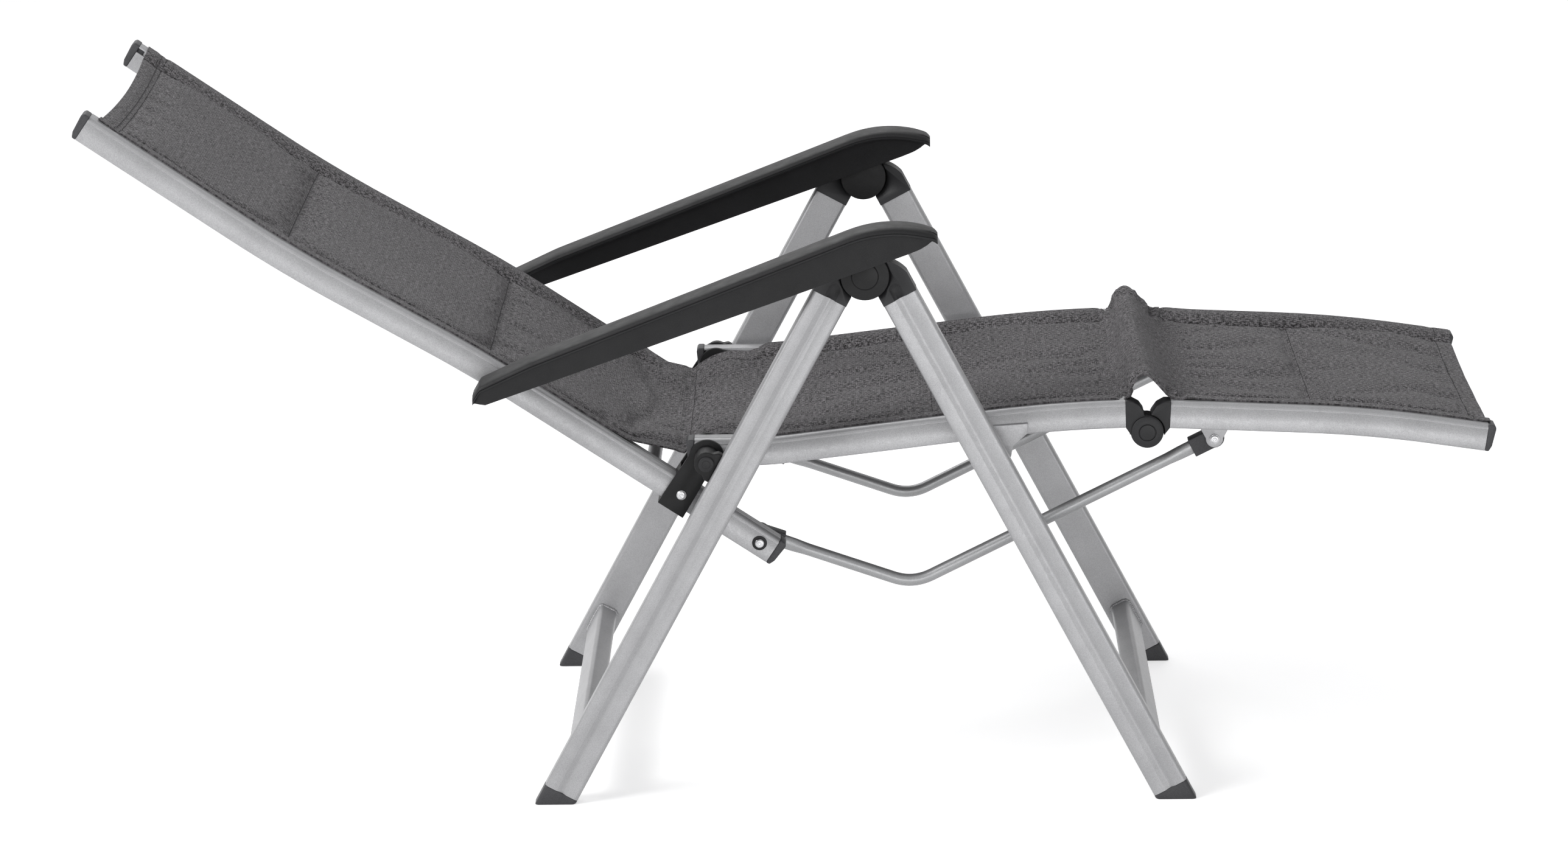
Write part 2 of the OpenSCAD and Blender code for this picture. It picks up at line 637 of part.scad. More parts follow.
// ---------------------------------------------------------------- link rods
sleeve_r = 12.5;     // radius of the sleeve round a rod's pivot
sleeve_y1 = rail_y0 - 5.5;
sleeve_t = 2 * rod_r + 4;
rod_y = sleeve_y1 - sleeve_t / 2;
sleeve_len = 30;     // length of a sleeve from its pivot
socket = 14;         // length of rod inside a sleeve
rod_turn_r = 60;     // radius of the rod's bend
lap = 1;             // length of a straight run that reaches into the bend
bend_swell = 0.15;   // the tube swells by this much in the bend
rear_run = unit(rod_bend - rod_rear);
fore_run = unit(rod_fore - rod_bend);
rod_turn = turn_of(rear_run, fore_run);
rod_cut = rod_turn_r * tan(rod_turn / 2);
// A round bar in the side plane from point a, for length l in direction d
module run(r, a, d, l) {
    translate([a[0], rod_y, a[1]]) rotate([0, 90 - atan2(d[1], d[0]), 0]) cylinder(r = r, h = l);
}
module link_rod() {
    start = rod_rear + rear_run * (sleeve_len - socket);
    bend0 = rod_bend - rear_run * rod_cut;
    bend1 = rod_bend + fore_run * rod_cut;
    finish = rod_fore - fore_run * (sleeve_len - socket);
    centre = bend0 + left(rear_run) * rod_turn_r;
    run(rod_r, start, rear_run, norm(bend0 - start) + lap);
    run(rod_r, bend1 - fore_run * lap, fore_run, norm(finish - bend1) + lap);
    translate([centre[0], rod_y, centre[1]]) rotate([90, 0, 0])
        rotate([0, 0, atan2(-left(rear_run)[1], -left(rear_run)[0])])
            rotate_extrude(angle = rod_turn) translate([rod_turn_r, 0])
                circle(rod_r + bend_swell);
}
module link_rod_left() color(ALUMINIUM) left_side() link_rod();
module link_rod_right() color(ALUMINIUM) right_side() link_rod();

// One sleeve: p is its pivot, d its direction along the rod
module sleeve(p, d) {
    difference() {
        at(p) {
            bar(sleeve_r, sleeve_y1 - sleeve_t, sleeve_y1);
            slab(sleeve_y1 - sleeve_t, sleeve_y1) rotate(atan2(d[1], d[0]))
                translate([0, 1 - sleeve_r]) square([sleeve_len, 2 * sleeve_r - 2]);
        }
        run(rod_r + fit / 2, p + d * (sleeve_len - socket - fit), d, socket + cut);
    }
}
module link_sleeves() {
    color(PLASTIC) both_sides() {
        difference() {
            union() {
                sleeve(rod_rear, rear_run);
                at(rod_rear) bar(rivet_r + 4, sleeve_y1 - cut, rail_y0 - fit);
            }
            at(rod_rear) bar(rivet_r + running, sleeve_y1 - sleeve_t - cut, rail_y0);
        }
        sleeve(rod_fore, -fore_run);
    }
}
module rod_rivets() {
    color(STEEL) both_sides() at(rod_rear) {
        bar(rivet_r, sleeve_y1 - sleeve_t - fit, rail_y1);
        bar(rivet_r + 5, rail_y1, rail_y1 + 1.2);
        bar(rivet_r + 1.5, rail_y1 + 1.2, rail_y1 + washer_t);
        bar(rivet_r + 2, sleeve_y1 - sleeve_t - fit - 1.5, sleeve_y1 - sleeve_t - fit);
    }
}
plate_t = 4;         // thickness of the link plate under the leg rest rail
plate_half = 20;     // half of its length along the rail
module link_brackets() {
    rail_under = height_at(rest_path, rod_fore[0]) - rail_h - rod_fore[1];
    color(ALUMINIUM) both_sides() at(rod_fore) difference() {
        slab(rail_y0 - plate_t - fit, rail_y0 - fit) {
            circle(rivet_r + 6.5);
            polygon([[-rivet_r - 6, 0], [rivet_r + 6, 0], [plate_half, rail_under],
                     [plate_half, rail_under + 14], [-plate_half, rail_under + 14],
                     [-plate_half, rail_under]]);
        }
        bar(rivet_r + running, rail_y0 - plate_t - cut, rail_y0);
    }
}
module link_bracket_rivets() {
    color(STEEL) both_sides() at(rod_fore) {
        bar(rivet_r, rail_y0 - plate_t - fit, rail_y0 - fit);
        bar(rivet_r + 2, rail_y0 - fit, rail_y0 + 1.2);
    }
}

// ---------------------------------------------------------------- armrests
arm_slope = 19.4;    // slope of the armrest's lower edge, in degrees
lip = 4;             // overhang of the top plate past the side walls
arm_tail = 70;       // length of the drooping rear end
nose_fall = 17.7;    // fall of the top plate from its peak to its nose
nose_t = 24;         // depth of the side walls behind the nose
tail_t = 23;         // depth of the side walls at the rear
tail_end = apex + [-arm_back, -arm_drop - 43.5];
arm_line = bent([tail_end, apex + [9 - arm_back, -arm_drop - 28.5],
                 apex + [arm_tail - arm_back, -arm_drop], apex + [arm_peak, arm_rise],
                 apex + [arm_nose, arm_rise - nose_fall]],
                [8, 150, 150]);
nose_end = apex + [arm_nose, arm_rise - nose_fall];
arm_under = [for (p = offset_path(arm_line, 0.5 - arm_top_t))
    if (p[0] > tail_end[0] + 4 && p[0] < nose_end[0] - 4) p];
arm_inner = [for (p = offset_path(arm_line, 0.25 - arm_top_t))
    if (p[0] > tail_end[0] + 12 && p[0] < nose_end[0] - 13) p];
arm_lug_r = 16;      // radius of the ear on the apex pin
module armrest() {
    wall_y0 = arm_y0 + lip;
    wall_y1 = arm_y1 - lip;
    slab(arm_y0, arm_y1) polygon(band(arm_line, -arm_top_t, 0));
    difference() {
        slab(wall_y0, wall_y1) polygon(concat(
            arm_under, [nose_end + [-5, -6.3], nose_end + [-11, -12.3], nose_end + [-21, -17.8],
            nose_end + [-37, -nose_t], tail_end + [16, -9.5], tail_end + [4, -8]]));
        slab(wall_y0 + arm_wall, wall_y1 - arm_wall) polygon(concat(
            arm_inner, [nose_end - [15, nose_t * 2], tail_end + [12, -tail_t * 3]]));
    }
    // The ear that carries the armrest on the apex pin
    difference() {
        at(apex) slab(arm_lug[0], arm_lug[1]) {
            circle(arm_lug_r);
            polygon([[-arm_lug_r * 0.75, 0], [arm_lug_r * 0.75, 0],
                     [10, arm_rise - 13], [-14, arm_rise - 21]]);
        }
        at(apex) bar(pin_r + running, arm_lug[0] - cut, arm_lug[1] + cut);
    }
}
module armrest_left() color(PLASTIC) left_side() armrest();
module armrest_right() color(PLASTIC) right_side() armrest();
rack_l = 132;        // length of a latch rack
rack_h = 14;         // height of a latch rack
notches = 7;         // notches, one for each position of the back
module latch_rack() {
    rack_y0 = arm_y0 + lip + arm_wall;
    at(apex + [arm_tail + 10 - arm_back, -arm_drop - 18]) rotate([0, -arm_slope, 0])
        slab(rack_y0, rack_y0 + 4) difference() {
            square([rack_l, rack_h], center = true);
            for (i = [0:notches - 1])
                translate([rack_l * ((i + 0.5) / notches - 0.5), -rack_h / 2])
                    circle(rivet_r + 0.4);
        }
}
module latch_rack_left() color(PLASTIC) left_side() latch_rack();
module latch_rack_right() color(PLASTIC) right_side() latch_rack();

// ---------------------------------------------------------------- sling
sling_y = rail_y0 - fit;
neck_y = ear_y0 - 2.8;               // half width between the back brackets
crease = hinge + [-30, -1.5];        // where the back's sling meets the seat's
function half_width(x) =
    let (past = max(crease[0] - 34 - x, x - crease[0] - 72))
    neck_y + (sling_y - neck_y) * min(1, max(0, past / 25));
back_line = concat([for (p = offset_path(back_path, -sling_drop)) if (p[0] < hinge[0] - 105) p],
                   [hinge + [-99, 14.6], crease]);
seat_line = concat([crease + [1, 0], hinge + [-5, 13.5], hinge + [20, seat_rise + 1]],
                   [for (p = offset_path(seat_path, -sling_drop)) if (p[0] > hinge[0] + 40) p]);
rest_line = offset_path(rest_path, -sling_drop);
// A sheet from X = x0 to x1 whose edges follow the line, and that sags between them
module sling(line, x0, x1, rows) {
    cols = 12;
    function sheet_point(i, j, lower) =
        let (x = x0 + (x1 - x0) * i / rows, t = -1 + 2 * j / cols)
        [x, half_width(x) * t, height_at(line, x) - sling_sag * (1 - t * t) - lower];
    points = concat(
        [for (i = [0:rows], j = [0:cols]) sheet_point(i, j, 0)],
        [for (i = [0:rows], j = [0:cols]) sheet_point(i, j, sling_t)]);
    layer = (rows + 1) * (cols + 1);
    function at_ij(i, j) = i * (cols + 1) + j;
    faces = concat(
        [for (i = [0:rows - 1], j = [0:cols - 1])
            each [[at_ij(i, j), at_ij(i, j + 1), at_ij(i + 1, j + 1)],
                  [at_ij(i, j), at_ij(i + 1, j + 1), at_ij(i + 1, j)]]],
        [for (i = [0:rows - 1], j = [0:cols - 1])
            each [[layer + at_ij(i, j), layer + at_ij(i + 1, j + 1), layer + at_ij(i, j + 1)],
                  [layer + at_ij(i, j), layer + at_ij(i + 1, j), layer + at_ij(i + 1, j + 1)]]],
        [for (i = [0:rows - 1]) each [
            [at_ij(i, 0), at_ij(i + 1, 0), layer + at_ij(i + 1, 0)],
            [at_ij(i, 0), layer + at_ij(i + 1, 0), layer + at_ij(i, 0)],
            [at_ij(i, cols), layer + at_ij(i + 1, cols), at_ij(i + 1, cols)],
            [at_ij(i, cols), layer + at_ij(i, cols), layer + at_ij(i + 1, cols)]]],
        [for (j = [0:cols - 1]) each [
            [at_ij(0, j), layer + at_ij(0, j + 1), at_ij(0, j + 1)],
            [at_ij(0, j), layer + at_ij(0, j), layer + at_ij(0, j + 1)],
            [at_ij(rows, j), at_ij(rows, j + 1), layer + at_ij(rows, j + 1)],
            [at_ij(rows, j), layer + at_ij(rows, j + 1), layer + at_ij(rows, j)]]]);
    centred() polyhedron(points, faces);
}
fold_back = 31;      // reach of the knee fold behind the knee hinge
fold_fore = 42;      // reach of the knee fold in front of it
module back_sling() color(SLING) sling(back_line, back_b3[0] + 6, crease[0], 22);
module seat_sling() color(SLING) sling(seat_line, crease[0] + 1, knee[0] - fold_back - 1, 22);
module legrest_sling() {
    color(SLING) sling(rest_line, knee[0] + fold_fore + 1, knee[0] + rest_reach - 2, 10);
}
fold_foot = 35;      // height of the fold's feet above the knee hinge
fold_top_r = 12;     // radius of the fold's rounded top
module knee_fold() {
    fold_line = bent([knee + [-fold_back, fold_foot], knee + [-1, fold_rise + fold_top_r * 0.6],
                      knee + [fold_fore, fold_foot]], [fold_top_r]);
    color(SLING) centred() slab(-sling_y, sling_y) polygon(band(fold_line, -sling_t, 0));
}

rear_leg_right();
rear_leg_left();
rear_stretcher();
rear_foot_right();
rear_foot_left();
rear_knuckle_right();
rear_knuckle_left();
apex_pins();
apex_covers();
hinge_block_right();
hinge_block_left();
seat_hinge_pins();
front_leg_right();
front_leg_left();
front_stretcher();
front_foot_right();
front_foot_left();
front_knuckle_right();
front_knuckle_left();
support_studs();
armrest_right();
armrest_left();
latch_rack_right();
latch_rack_left();
seat_rail_right();
seat_rail_left();
seat_rear_caps();
seat_rear_tube();
seat_front_tube();
support_hooks();
knee_yoke_right();
knee_yoke_left();
knee_pins();
seat_sling();
knee_fold();
back_rail_right();
back_rail_left();
back_bracket_right();
back_bracket_left();
back_top_caps();
back_bottom_caps();
back_upper_tube();
back_lower_tube();
latch_pins();
bracket_rivets();
rod_rivets();
back_sling();
legrest_rail_right();
legrest_rail_left();
knee_tongue_right();
knee_tongue_left();
legrest_tube();
legrest_end_caps();
link_brackets();
link_bracket_rivets();
legrest_sling();
link_rod_right();
link_rod_left();
link_sleeves();
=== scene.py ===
"""Looks of the reclining sun lounger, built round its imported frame.

Lengths are metres, or millimetres times MM. X runs to the foot end, Y to the sitter's
left and Z up from the floor.
"""
import json
import math

import bmesh
import bpy
import numpy as np
from mathutils import Matrix, Vector, noise


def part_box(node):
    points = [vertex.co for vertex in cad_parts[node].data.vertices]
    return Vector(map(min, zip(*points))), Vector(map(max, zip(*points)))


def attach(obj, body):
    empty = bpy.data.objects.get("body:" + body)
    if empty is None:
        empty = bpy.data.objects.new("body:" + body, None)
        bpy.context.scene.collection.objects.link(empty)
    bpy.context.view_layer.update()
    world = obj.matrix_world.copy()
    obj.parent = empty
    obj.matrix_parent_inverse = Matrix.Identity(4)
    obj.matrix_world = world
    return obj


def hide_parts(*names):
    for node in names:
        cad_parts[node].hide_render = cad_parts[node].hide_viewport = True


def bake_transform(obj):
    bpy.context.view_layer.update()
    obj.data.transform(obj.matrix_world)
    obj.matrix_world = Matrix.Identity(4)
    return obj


MM = 0.001
MERGE = 1e-6             # points closer than this are one point
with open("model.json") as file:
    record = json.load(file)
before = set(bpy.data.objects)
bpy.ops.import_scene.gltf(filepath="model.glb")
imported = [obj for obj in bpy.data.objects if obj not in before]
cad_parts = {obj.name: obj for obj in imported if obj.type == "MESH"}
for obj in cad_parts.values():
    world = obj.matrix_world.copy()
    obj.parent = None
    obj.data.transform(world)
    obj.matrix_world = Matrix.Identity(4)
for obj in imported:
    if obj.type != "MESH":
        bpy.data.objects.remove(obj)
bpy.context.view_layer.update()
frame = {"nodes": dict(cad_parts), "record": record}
NODES = frame["nodes"]
body_of = {n: b for b, nodes in frame["record"]["behaviour"]["bodies"].items() for n in nodes}
scene = bpy.context.scene


# ------------------------------------------------------------------ camera
SENSOR, LENS = 36.0, 125.7764    # width of the camera's sensor and its focal length, in mm
EYE = (0.0828, -6.6576, 2.0662)
YAW, PITCH, ROLL = (math.radians(a) for a in (-0.80119, 14.042, -0.76934))


def place_camera():
    """A long lens off to the right side, turned a little down to the object."""
    data = bpy.data.cameras.new("camera")
    data.sensor_fit = "HORIZONTAL"
    data.sensor_width, data.lens, data.clip_end = SENSOR, LENS, 100
    camera = bpy.data.objects.new("camera", data)
    scene.collection.objects.link(camera)
    forward = Vector((math.sin(YAW) * math.cos(PITCH), math.cos(YAW) * math.cos(PITCH),
                      -math.sin(PITCH)))
    level = Vector((math.cos(YAW), -math.sin(YAW), 0))
    above = level.cross(forward)
    right = level * math.cos(ROLL) + above * math.sin(ROLL)
    up = above * math.cos(ROLL) - level * math.sin(ROLL)
    turn = Matrix((right, up, -forward)).transposed().to_4x4()
    camera.matrix_world = Matrix.Translation(EYE) @ turn
    scene.camera = camera


place_camera()


# ------------------------------------------------------------------ nodes that finishes share
def finish_named(name, roughness, metallic, specular=0.5):
    material = bpy.data.materials.new(name)
    material.use_nodes = True
    shader = material.node_tree.nodes["Principled BSDF"]
    shader.inputs["Roughness"].default_value = roughness
    shader.inputs["Metallic"].default_value = metallic
    shader.inputs["Specular IOR Level"].default_value = specular
    return material, material.node_tree, shader


def feed(tree, sources, sockets):
    """Each socket takes its source, which is a number, a colour or another socket."""
    for source, socket in zip(sources, sockets):
        if isinstance(source, (float, tuple)):
            socket.default_value = source
        else:
            tree.links.new(source, socket)


def worked_out(tree, operation, a, b):
    node = tree.nodes.new("ShaderNodeMath")
    node.operation = operation
    feed(tree, (a, b), node.inputs)
    return node.outputs[0]


def grain(tree, vector, scale, detail, rough=0.5):
    node = tree.nodes.new("ShaderNodeTexNoise")
    for socket, number in (("Scale", scale), ("Detail", detail), ("Roughness", rough)):
        node.inputs[socket].default_value = number
    tree.links.new(vector, node.inputs["Vector"])
    return node.outputs["Fac"]


def spread(tree, value, low, high, dark, pale):
    """Colours from dark to pale as value goes from low to high."""
    ramp = tree.nodes.new("ShaderNodeValToRGB")
    first, last = ramp.color_ramp.elements
    first.position, last.position = low, high
    first.color, last.color = (*dark, 1), (*pale, 1)
    tree.links.new(value, ramp.inputs[0])
    return ramp.outputs[0]


def ranged(tree, value, low, high, a, b):
    """Numbers from a to b as value goes from low to high."""
    node = tree.nodes.new("ShaderNodeMapRange")
    for socket, number in zip(("From Min", "From Max", "To Min", "To Max"), (low, high, a, b)):
        node.inputs[socket].default_value = number
    tree.links.new(value, node.inputs["Value"])
    return node.outputs["Result"]


def mixed(tree, factor, a, b, blend="MIX"):
    """Colour a turned into colour b by the factor."""
    node = tree.nodes.new("ShaderNodeMix")
    node.data_type = "RGBA"
    node.blend_type = blend
    feed(tree, (factor, a, b), (node.inputs[0], node.inputs[6], node.inputs[7]))
    return node.outputs[2]


def raised(tree, shader, height, strength, distance, under=None):
    """Relief on the shader, laid over the relief under it if there is one."""
    node = tree.nodes.new("ShaderNodeBump")
    node.inputs["Strength"].default_value = strength
    node.inputs["Distance"].default_value = distance
    tree.links.new(height, node.inputs["Height"])
    if under is not None:
        tree.links.new(under, node.inputs["Normal"])
    tree.links.new(node.outputs[0], shader.inputs["Normal"])
    return node.outputs[0]


def here(tree):
    return tree.nodes.new("ShaderNodeTexCoord").outputs["Object"]


def clouded(tree, colour, vector, scale, dark, pale):
    """The colour times a soft mottle that goes from dark to pale."""
    cloud = spread(tree, grain(tree, vector, scale, 3), 0.3, 0.7, (dark,) * 3, (pale,) * 3)
    return mixed(tree, 1.0, colour, cloud, "MULTIPLY")


def uneven_gloss(tree, shader, vector, scale, low, high):
    """Roughness that wanders between low and high."""
    rough = ranged(tree, grain(tree, vector, scale, 3), 0.3, 0.7, low, high)
    tree.links.new(rough, shader.inputs["Roughness"])


# ------------------------------------------------------------------ light and floor
def softbox(name, place, aim, size, power):
    data = bpy.data.lights.new(name, "AREA")
    data.shape = "RECTANGLE"
    data.size, data.size_y = size
    data.energy = power
    lamp = bpy.data.objects.new(name, data)
    scene.collection.objects.link(lamp)
    turn = (Vector(aim) - Vector(place)).to_track_quat("-Z", "Y").to_matrix().to_4x4()
    lamp.matrix_world = Matrix.Translation(place) @ turn


def backdrop_rays(tree):
    """1 for the rays that show the backdrop: to the eye, mirrored or let through."""
    path = tree.nodes.new("ShaderNodeLightPath")
    seen = path.outputs["Is Camera Ray"]
    for ray in ("Is Glossy Ray", "Is Transmission Ray"):
        seen = worked_out(tree, "MAXIMUM", seen, path.outputs[ray])
    return seen


def pale_world():
    """Soft grey light, paler from above, and a white backdrop."""
    world = bpy.data.worlds.new("studio")
    scene.world = world
    world.use_nodes = True
    tree = world.node_tree
    tree.nodes.clear()
    out = tree.nodes.new("ShaderNodeOutputWorld")
    soft, white = (tree.nodes.new("ShaderNodeBackground") for _ in range(2))
    soft.inputs["Strength"].default_value = 0.46
    white.inputs["Strength"].default_value = 1.0
    mix = tree.nodes.new("ShaderNodeMixShader")
    coord = tree.nodes.new("ShaderNodeTexCoord")
    split = tree.nodes.new("ShaderNodeSeparateXYZ")
    tree.links.new(coord.outputs["Generated"], split.inputs[0])
    sky = spread(tree, split.outputs["Z"], 0.0, 0.9, (0.42, 0.42, 0.43), (0.98, 0.98, 1.0))
    tree.links.new(sky, soft.inputs["Color"])
    feed(tree, (backdrop_rays(tree), soft.outputs[0], white.outputs[0]), mix.inputs)
    tree.links.new(mix.outputs[0], out.inputs[0])


def pale_floor():
    mesh = bpy.data.meshes.new("floor")
    mesh.from_pydata([(-30, -30, 0), (30, -30, 0), (30, 40, 0), (-30, 40, 0)], [],
                     [(0, 1, 2, 3)])
    floor = bpy.data.objects.new("floor", mesh)
    scene.collection.objects.link(floor)
    material, tree, shader = finish_named("floor_white", 0.9, 0.0, 0.1)
    shader.inputs["Base Color"].default_value = (0.93, 0.93, 0.93, 1)
    shader.inputs["Emission Color"].default_value = (1, 1, 1, 1)
    lift = worked_out(tree, "MULTIPLY", backdrop_rays(tree), 0.56)
    tree.links.new(lift, shader.inputs["Emission Strength"])
    mesh.materials.append(material)


softbox("key", (-3.6, -2.2, 3.3), (0, 0, 0.4), (2.2, 1.6), 150)
softbox("fill", (1.3, -4.4, 0.5), (0.2, 0, 0.5), (4.6, 0.9), 56)
softbox("back", (-1.4, 3.2, 3.6), (0, 0, 0.4), (4.0, 1.6), 58)
pale_world()
pale_floor()


# ------------------------------------------------------------------ finishes
YARNS = (("X", 1.1 * MM), ("Y", 1.3 * MM))    # across and along the cloth, half a wave each
WAVE_UNIT = 20                                # radians of a wave for each unit of its scale


def powder_coated(name, dark, pale, roughness, metallic):
    """Silver powder coat: a fine speckle over a soft mottle."""
    material, tree, shader = finish_named(name, roughness, metallic)
    place = here(tree)
    speckle = spread(tree, grain(tree, place, 1500, 3, 0.65), 0.36, 0.66, dark, pale)
    tree.links.new(clouded(tree, speckle, place, 26, 0.93, 1.04), shader.inputs["Base Color"])
    uneven_gloss(tree, shader, place, 320, roughness - 0.05, roughness + 0.07)
    raised(tree, shader, grain(tree, place, 1700, 2), 0.16, 0.3 * MM)
    return material


def moulded(name, dark, pale, roughness, grain_size=1400, wear=0.5):
    """Moulded plastic with a fine eroded grain, paler along its rubbed edges."""
    material, tree, shader = finish_named(name, roughness, 0.0, 0.26)
    place = here(tree)
    speckle = spread(tree, grain(tree, place, grain_size, 3, 0.6), 0.32, 0.7, dark, pale)
    colour = clouded(tree, speckle, place, 17, 0.86, 1.1)
    sharp = tree.nodes.new("ShaderNodeNewGeometry").outputs["Pointiness"]
    worn = worked_out(tree, "MULTIPLY", ranged(tree, sharp, 0.52, 0.64, 0.0, 1.0), wear)
    colour = mixed(tree, worn, colour, tuple(c * 1.9 for c in pale) + (1,))
    tree.links.new(colour, shader.inputs["Base Color"])
    uneven_gloss(tree, shader, place, 60, roughness - 0.06, roughness + 0.06)
    raised(tree, shader, grain(tree, place, grain_size, 2, 0.6), 0.3, 0.4 * MM)
    return material


def zinc_plated(name):
    """Bright zinc in darker and paler patches."""
    material, tree, shader = finish_named(name, 0.3, 1.0)
    place = here(tree)
    patches = spread(tree, grain(tree, place, 210, 4), 0.3, 0.72, (0.40, 0.40, 0.41),
                     (0.62, 0.62, 0.63))
    tree.links.new(patches, shader.inputs["Base Color"])
    uneven_gloss(tree, shader, place, 700, 0.24, 0.44)
    raised(tree, shader, grain(tree, place, 900, 2), 0.1, 0.2 * MM)
    return material


def sling_cloth(name):
    """Heathered weave: flecks over a fine grid of yarns, and a coarser, darker strip along
    the cloth's very edges. The cloth map is in metres."""
    material, tree, shader = finish_named(name, 0.88, 0.0, 0.25)
    shader.inputs["Sheen Weight"].default_value = 0.12
    shader.inputs["Sheen Roughness"].default_value = 0.5
    flat = tree.nodes.new("ShaderNodeUVMap")
    flat.uv_map = "cloth"

    def stretched(across, along):
        node = tree.nodes.new("ShaderNodeMapping")
        node.inputs["Scale"].default_value = (across, along, 1)
        tree.links.new(flat.outputs[0], node.inputs["Vector"])
        return node.outputs[0]

    fleck = grain(tree, stretched(420, 190), 1.0, 4, 0.72)
    cross = grain(tree, stretched(210, 700), 1.0, 3, 0.7)
    both = tree.nodes.new("ShaderNodeMix")
    feed(tree, (0.30, fleck, cross), (both.inputs[0], both.inputs[2], both.inputs[3]))
    colour = spread(tree, both.outputs[0], 0.455, 0.565, (0.010, 0.009, 0.0098),
                    (0.235, 0.224, 0.233))
    colour = clouded(tree, colour, stretched(16, 9), 1.0, 0.9, 1.08)
    waves = []
    for direction, width in YARNS:
        wave = tree.nodes.new("ShaderNodeTexWave")
        wave.bands_direction = direction
        wave.inputs["Scale"].default_value = math.pi / (WAVE_UNIT * width)
        wave.inputs["Distortion"].default_value = 0.6
        tree.links.new(stretched(1, 1), wave.inputs["Vector"])
        waves.append(wave.outputs["Fac"])
    weave = worked_out(tree, "MULTIPLY", *waves)
    shadow = spread(tree, weave, 0.0, 0.5, (0.80,) * 3, (1.06,) * 3)
    colour = mixed(tree, 1.0, colour, shadow, "MULTIPLY")
    band = tree.nodes.new("ShaderNodeAttribute")
    band.attribute_name = "band"
    coarse = spread(tree, grain(tree, stretched(420, 520), 1.0, 2, 0.7), 0.44, 0.66,
                    (0.026, 0.024, 0.0255), (0.15, 0.142, 0.149))
    colour = mixed(tree, band.outputs["Fac"], colour, coarse)
    tree.links.new(colour, shader.inputs["Base Color"])
    under = raised(tree, shader, both.outputs[0], 0.35, 0.7 * MM)
    raised(tree, shader, weave, 0.45, 0.6 * MM, under)
    return material


METAL = powder_coated("silver_powder_coat", (0.305, 0.305, 0.312), (0.455, 0.455, 0.465),
                      0.40, 0.36)
TUBE = powder_coated("silver_tube", (0.27, 0.272, 0.277), (0.42, 0.423, 0.43), 0.36, 0.5)
MOULD = moulded("anthracite_moulding", (0.008, 0.008, 0.0086), (0.017, 0.017, 0.018), 0.52)
COVER = moulded("cover_moulding", (0.011, 0.011, 0.0118), (0.020, 0.020, 0.0214), 0.48)
HUB = moulded("hub_moulding", (0.003, 0.003, 0.0033), (0.007, 0.007, 0.0076), 0.5)
CAPS = moulded("dark_cap", (0.036, 0.036, 0.0385), (0.066, 0.066, 0.070), 0.45, 1100)
STEEL = zinc_plated("zinc_steel")
RUBBER = moulded("washer_black", (0.010, 0.010, 0.011), (0.018, 0.018, 0.02), 0.55, 900, 0.1)
CLOTH = sling_cloth("melange_sling")
THREAD = moulded("dark_thread", (0.008, 0.008, 0.0086), (0.024, 0.023, 0.0245), 0.8, 2500, 0.2)


# ------------------------------------------------------------------ making pieces
FLAT_WITHIN = math.radians(0.6)    # faces that turn by less than this are one flat face
BEVEL_OVER = math.radians(32)      # edges that turn by more than this are rounded
BEVEL_STEPS = 3


def shaded(mesh, sharp_over):
    """Smooth shading, except over edges sharper than so many degrees."""
    mesh.shade_smooth()
    mesh.set_sharp_from_angle(angle=math.radians(sharp_over))


def piece(name, mesh, material, sharp_over):
    obj = bpy.data.objects.new(name, mesh)
    scene.collection.objects.link(obj)
    mesh.materials.clear()
    mesh.materials.append(material)
    shaded(mesh, sharp_over)
    return obj


def mesh_of(name, bm):
    mesh = bpy.data.meshes.new(name)
    bm.to_mesh(mesh)
    bm.free()
    return mesh


def applied(obj):
    """The object's modifiers become its mesh."""
    graph = bpy.context.evaluated_depsgraph_get()
    mesh = bpy.data.meshes.new_from_object(obj.evaluated_get(graph))
    mesh.name = obj.name
    obj.modifiers.clear()
    old = obj.data
    obj.data = mesh
    bpy.data.meshes.remove(old)


def fixed(obj, body, slot, *replaced):
    """The piece rides on a body and may stand for nodes; the slot is not used."""
    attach(obj, body)
    if replaced:
        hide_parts(*replaced)
    return obj


def rounded_copy(node, material, slot, width=0.0, sharp_over=38):
    """A copy of a node with its flat faces joined and its edges rounded by width."""
    bm = bmesh.new()
    bm.from_mesh(NODES[node].data)
    bmesh.ops.remove_doubles(bm, verts=bm.verts, dist=2 * MERGE)
    bmesh.ops.dissolve_degenerate(bm, edges=bm.edges, dist=MERGE)
    bmesh.ops.dissolve_limit(bm, angle_limit=FLAT_WITHIN, verts=bm.verts, edges=bm.edges)
    obj = piece(node + "_soft", mesh_of(node + "_soft", bm), material, sharp_over)
    if width > 0:
        bevel = obj.modifiers.new("edges", "BEVEL")
        bevel.width = width
        bevel.segments = BEVEL_STEPS
        bevel.limit_method = "ANGLE"
        bevel.angle_limit = BEVEL_OVER
        bevel.use_clamp_overlap = False
        applied(obj)
        shaded(obj.data, 40)
    return fixed(obj, body_of[node], slot, node)


def nodes_like(*words):
    return [n for n in sorted(body_of) if any(w in n for w in words)]


def middle(box):
    return (Vector(box[0]) + Vector(box[1])) / 2


def side_lines(node, slope=0.7):
    """The top and the bottom line of a bent bar, as (x, z) points towards the foot end,
    from the faces that run across its whole width."""
    mesh = NODES[node].data
    low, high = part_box(node)
    full = (high[1] - low[1]) * 0.98
    top, bottom = set(), set()
    for tri in mesh.polygons:
        points = [mesh.vertices[i].co for i in tri.vertices]
        across = [p.y for p in points]
        if max(across) - min(across) < full or abs(tri.normal.z) < slope:
            continue
        line = top if tri.normal.z > 0 else bottom
        line.update((round(p.x, 5), round(p.z, 5)) for p in points)
    return np.array(sorted(top)), np.array(sorted(bottom))


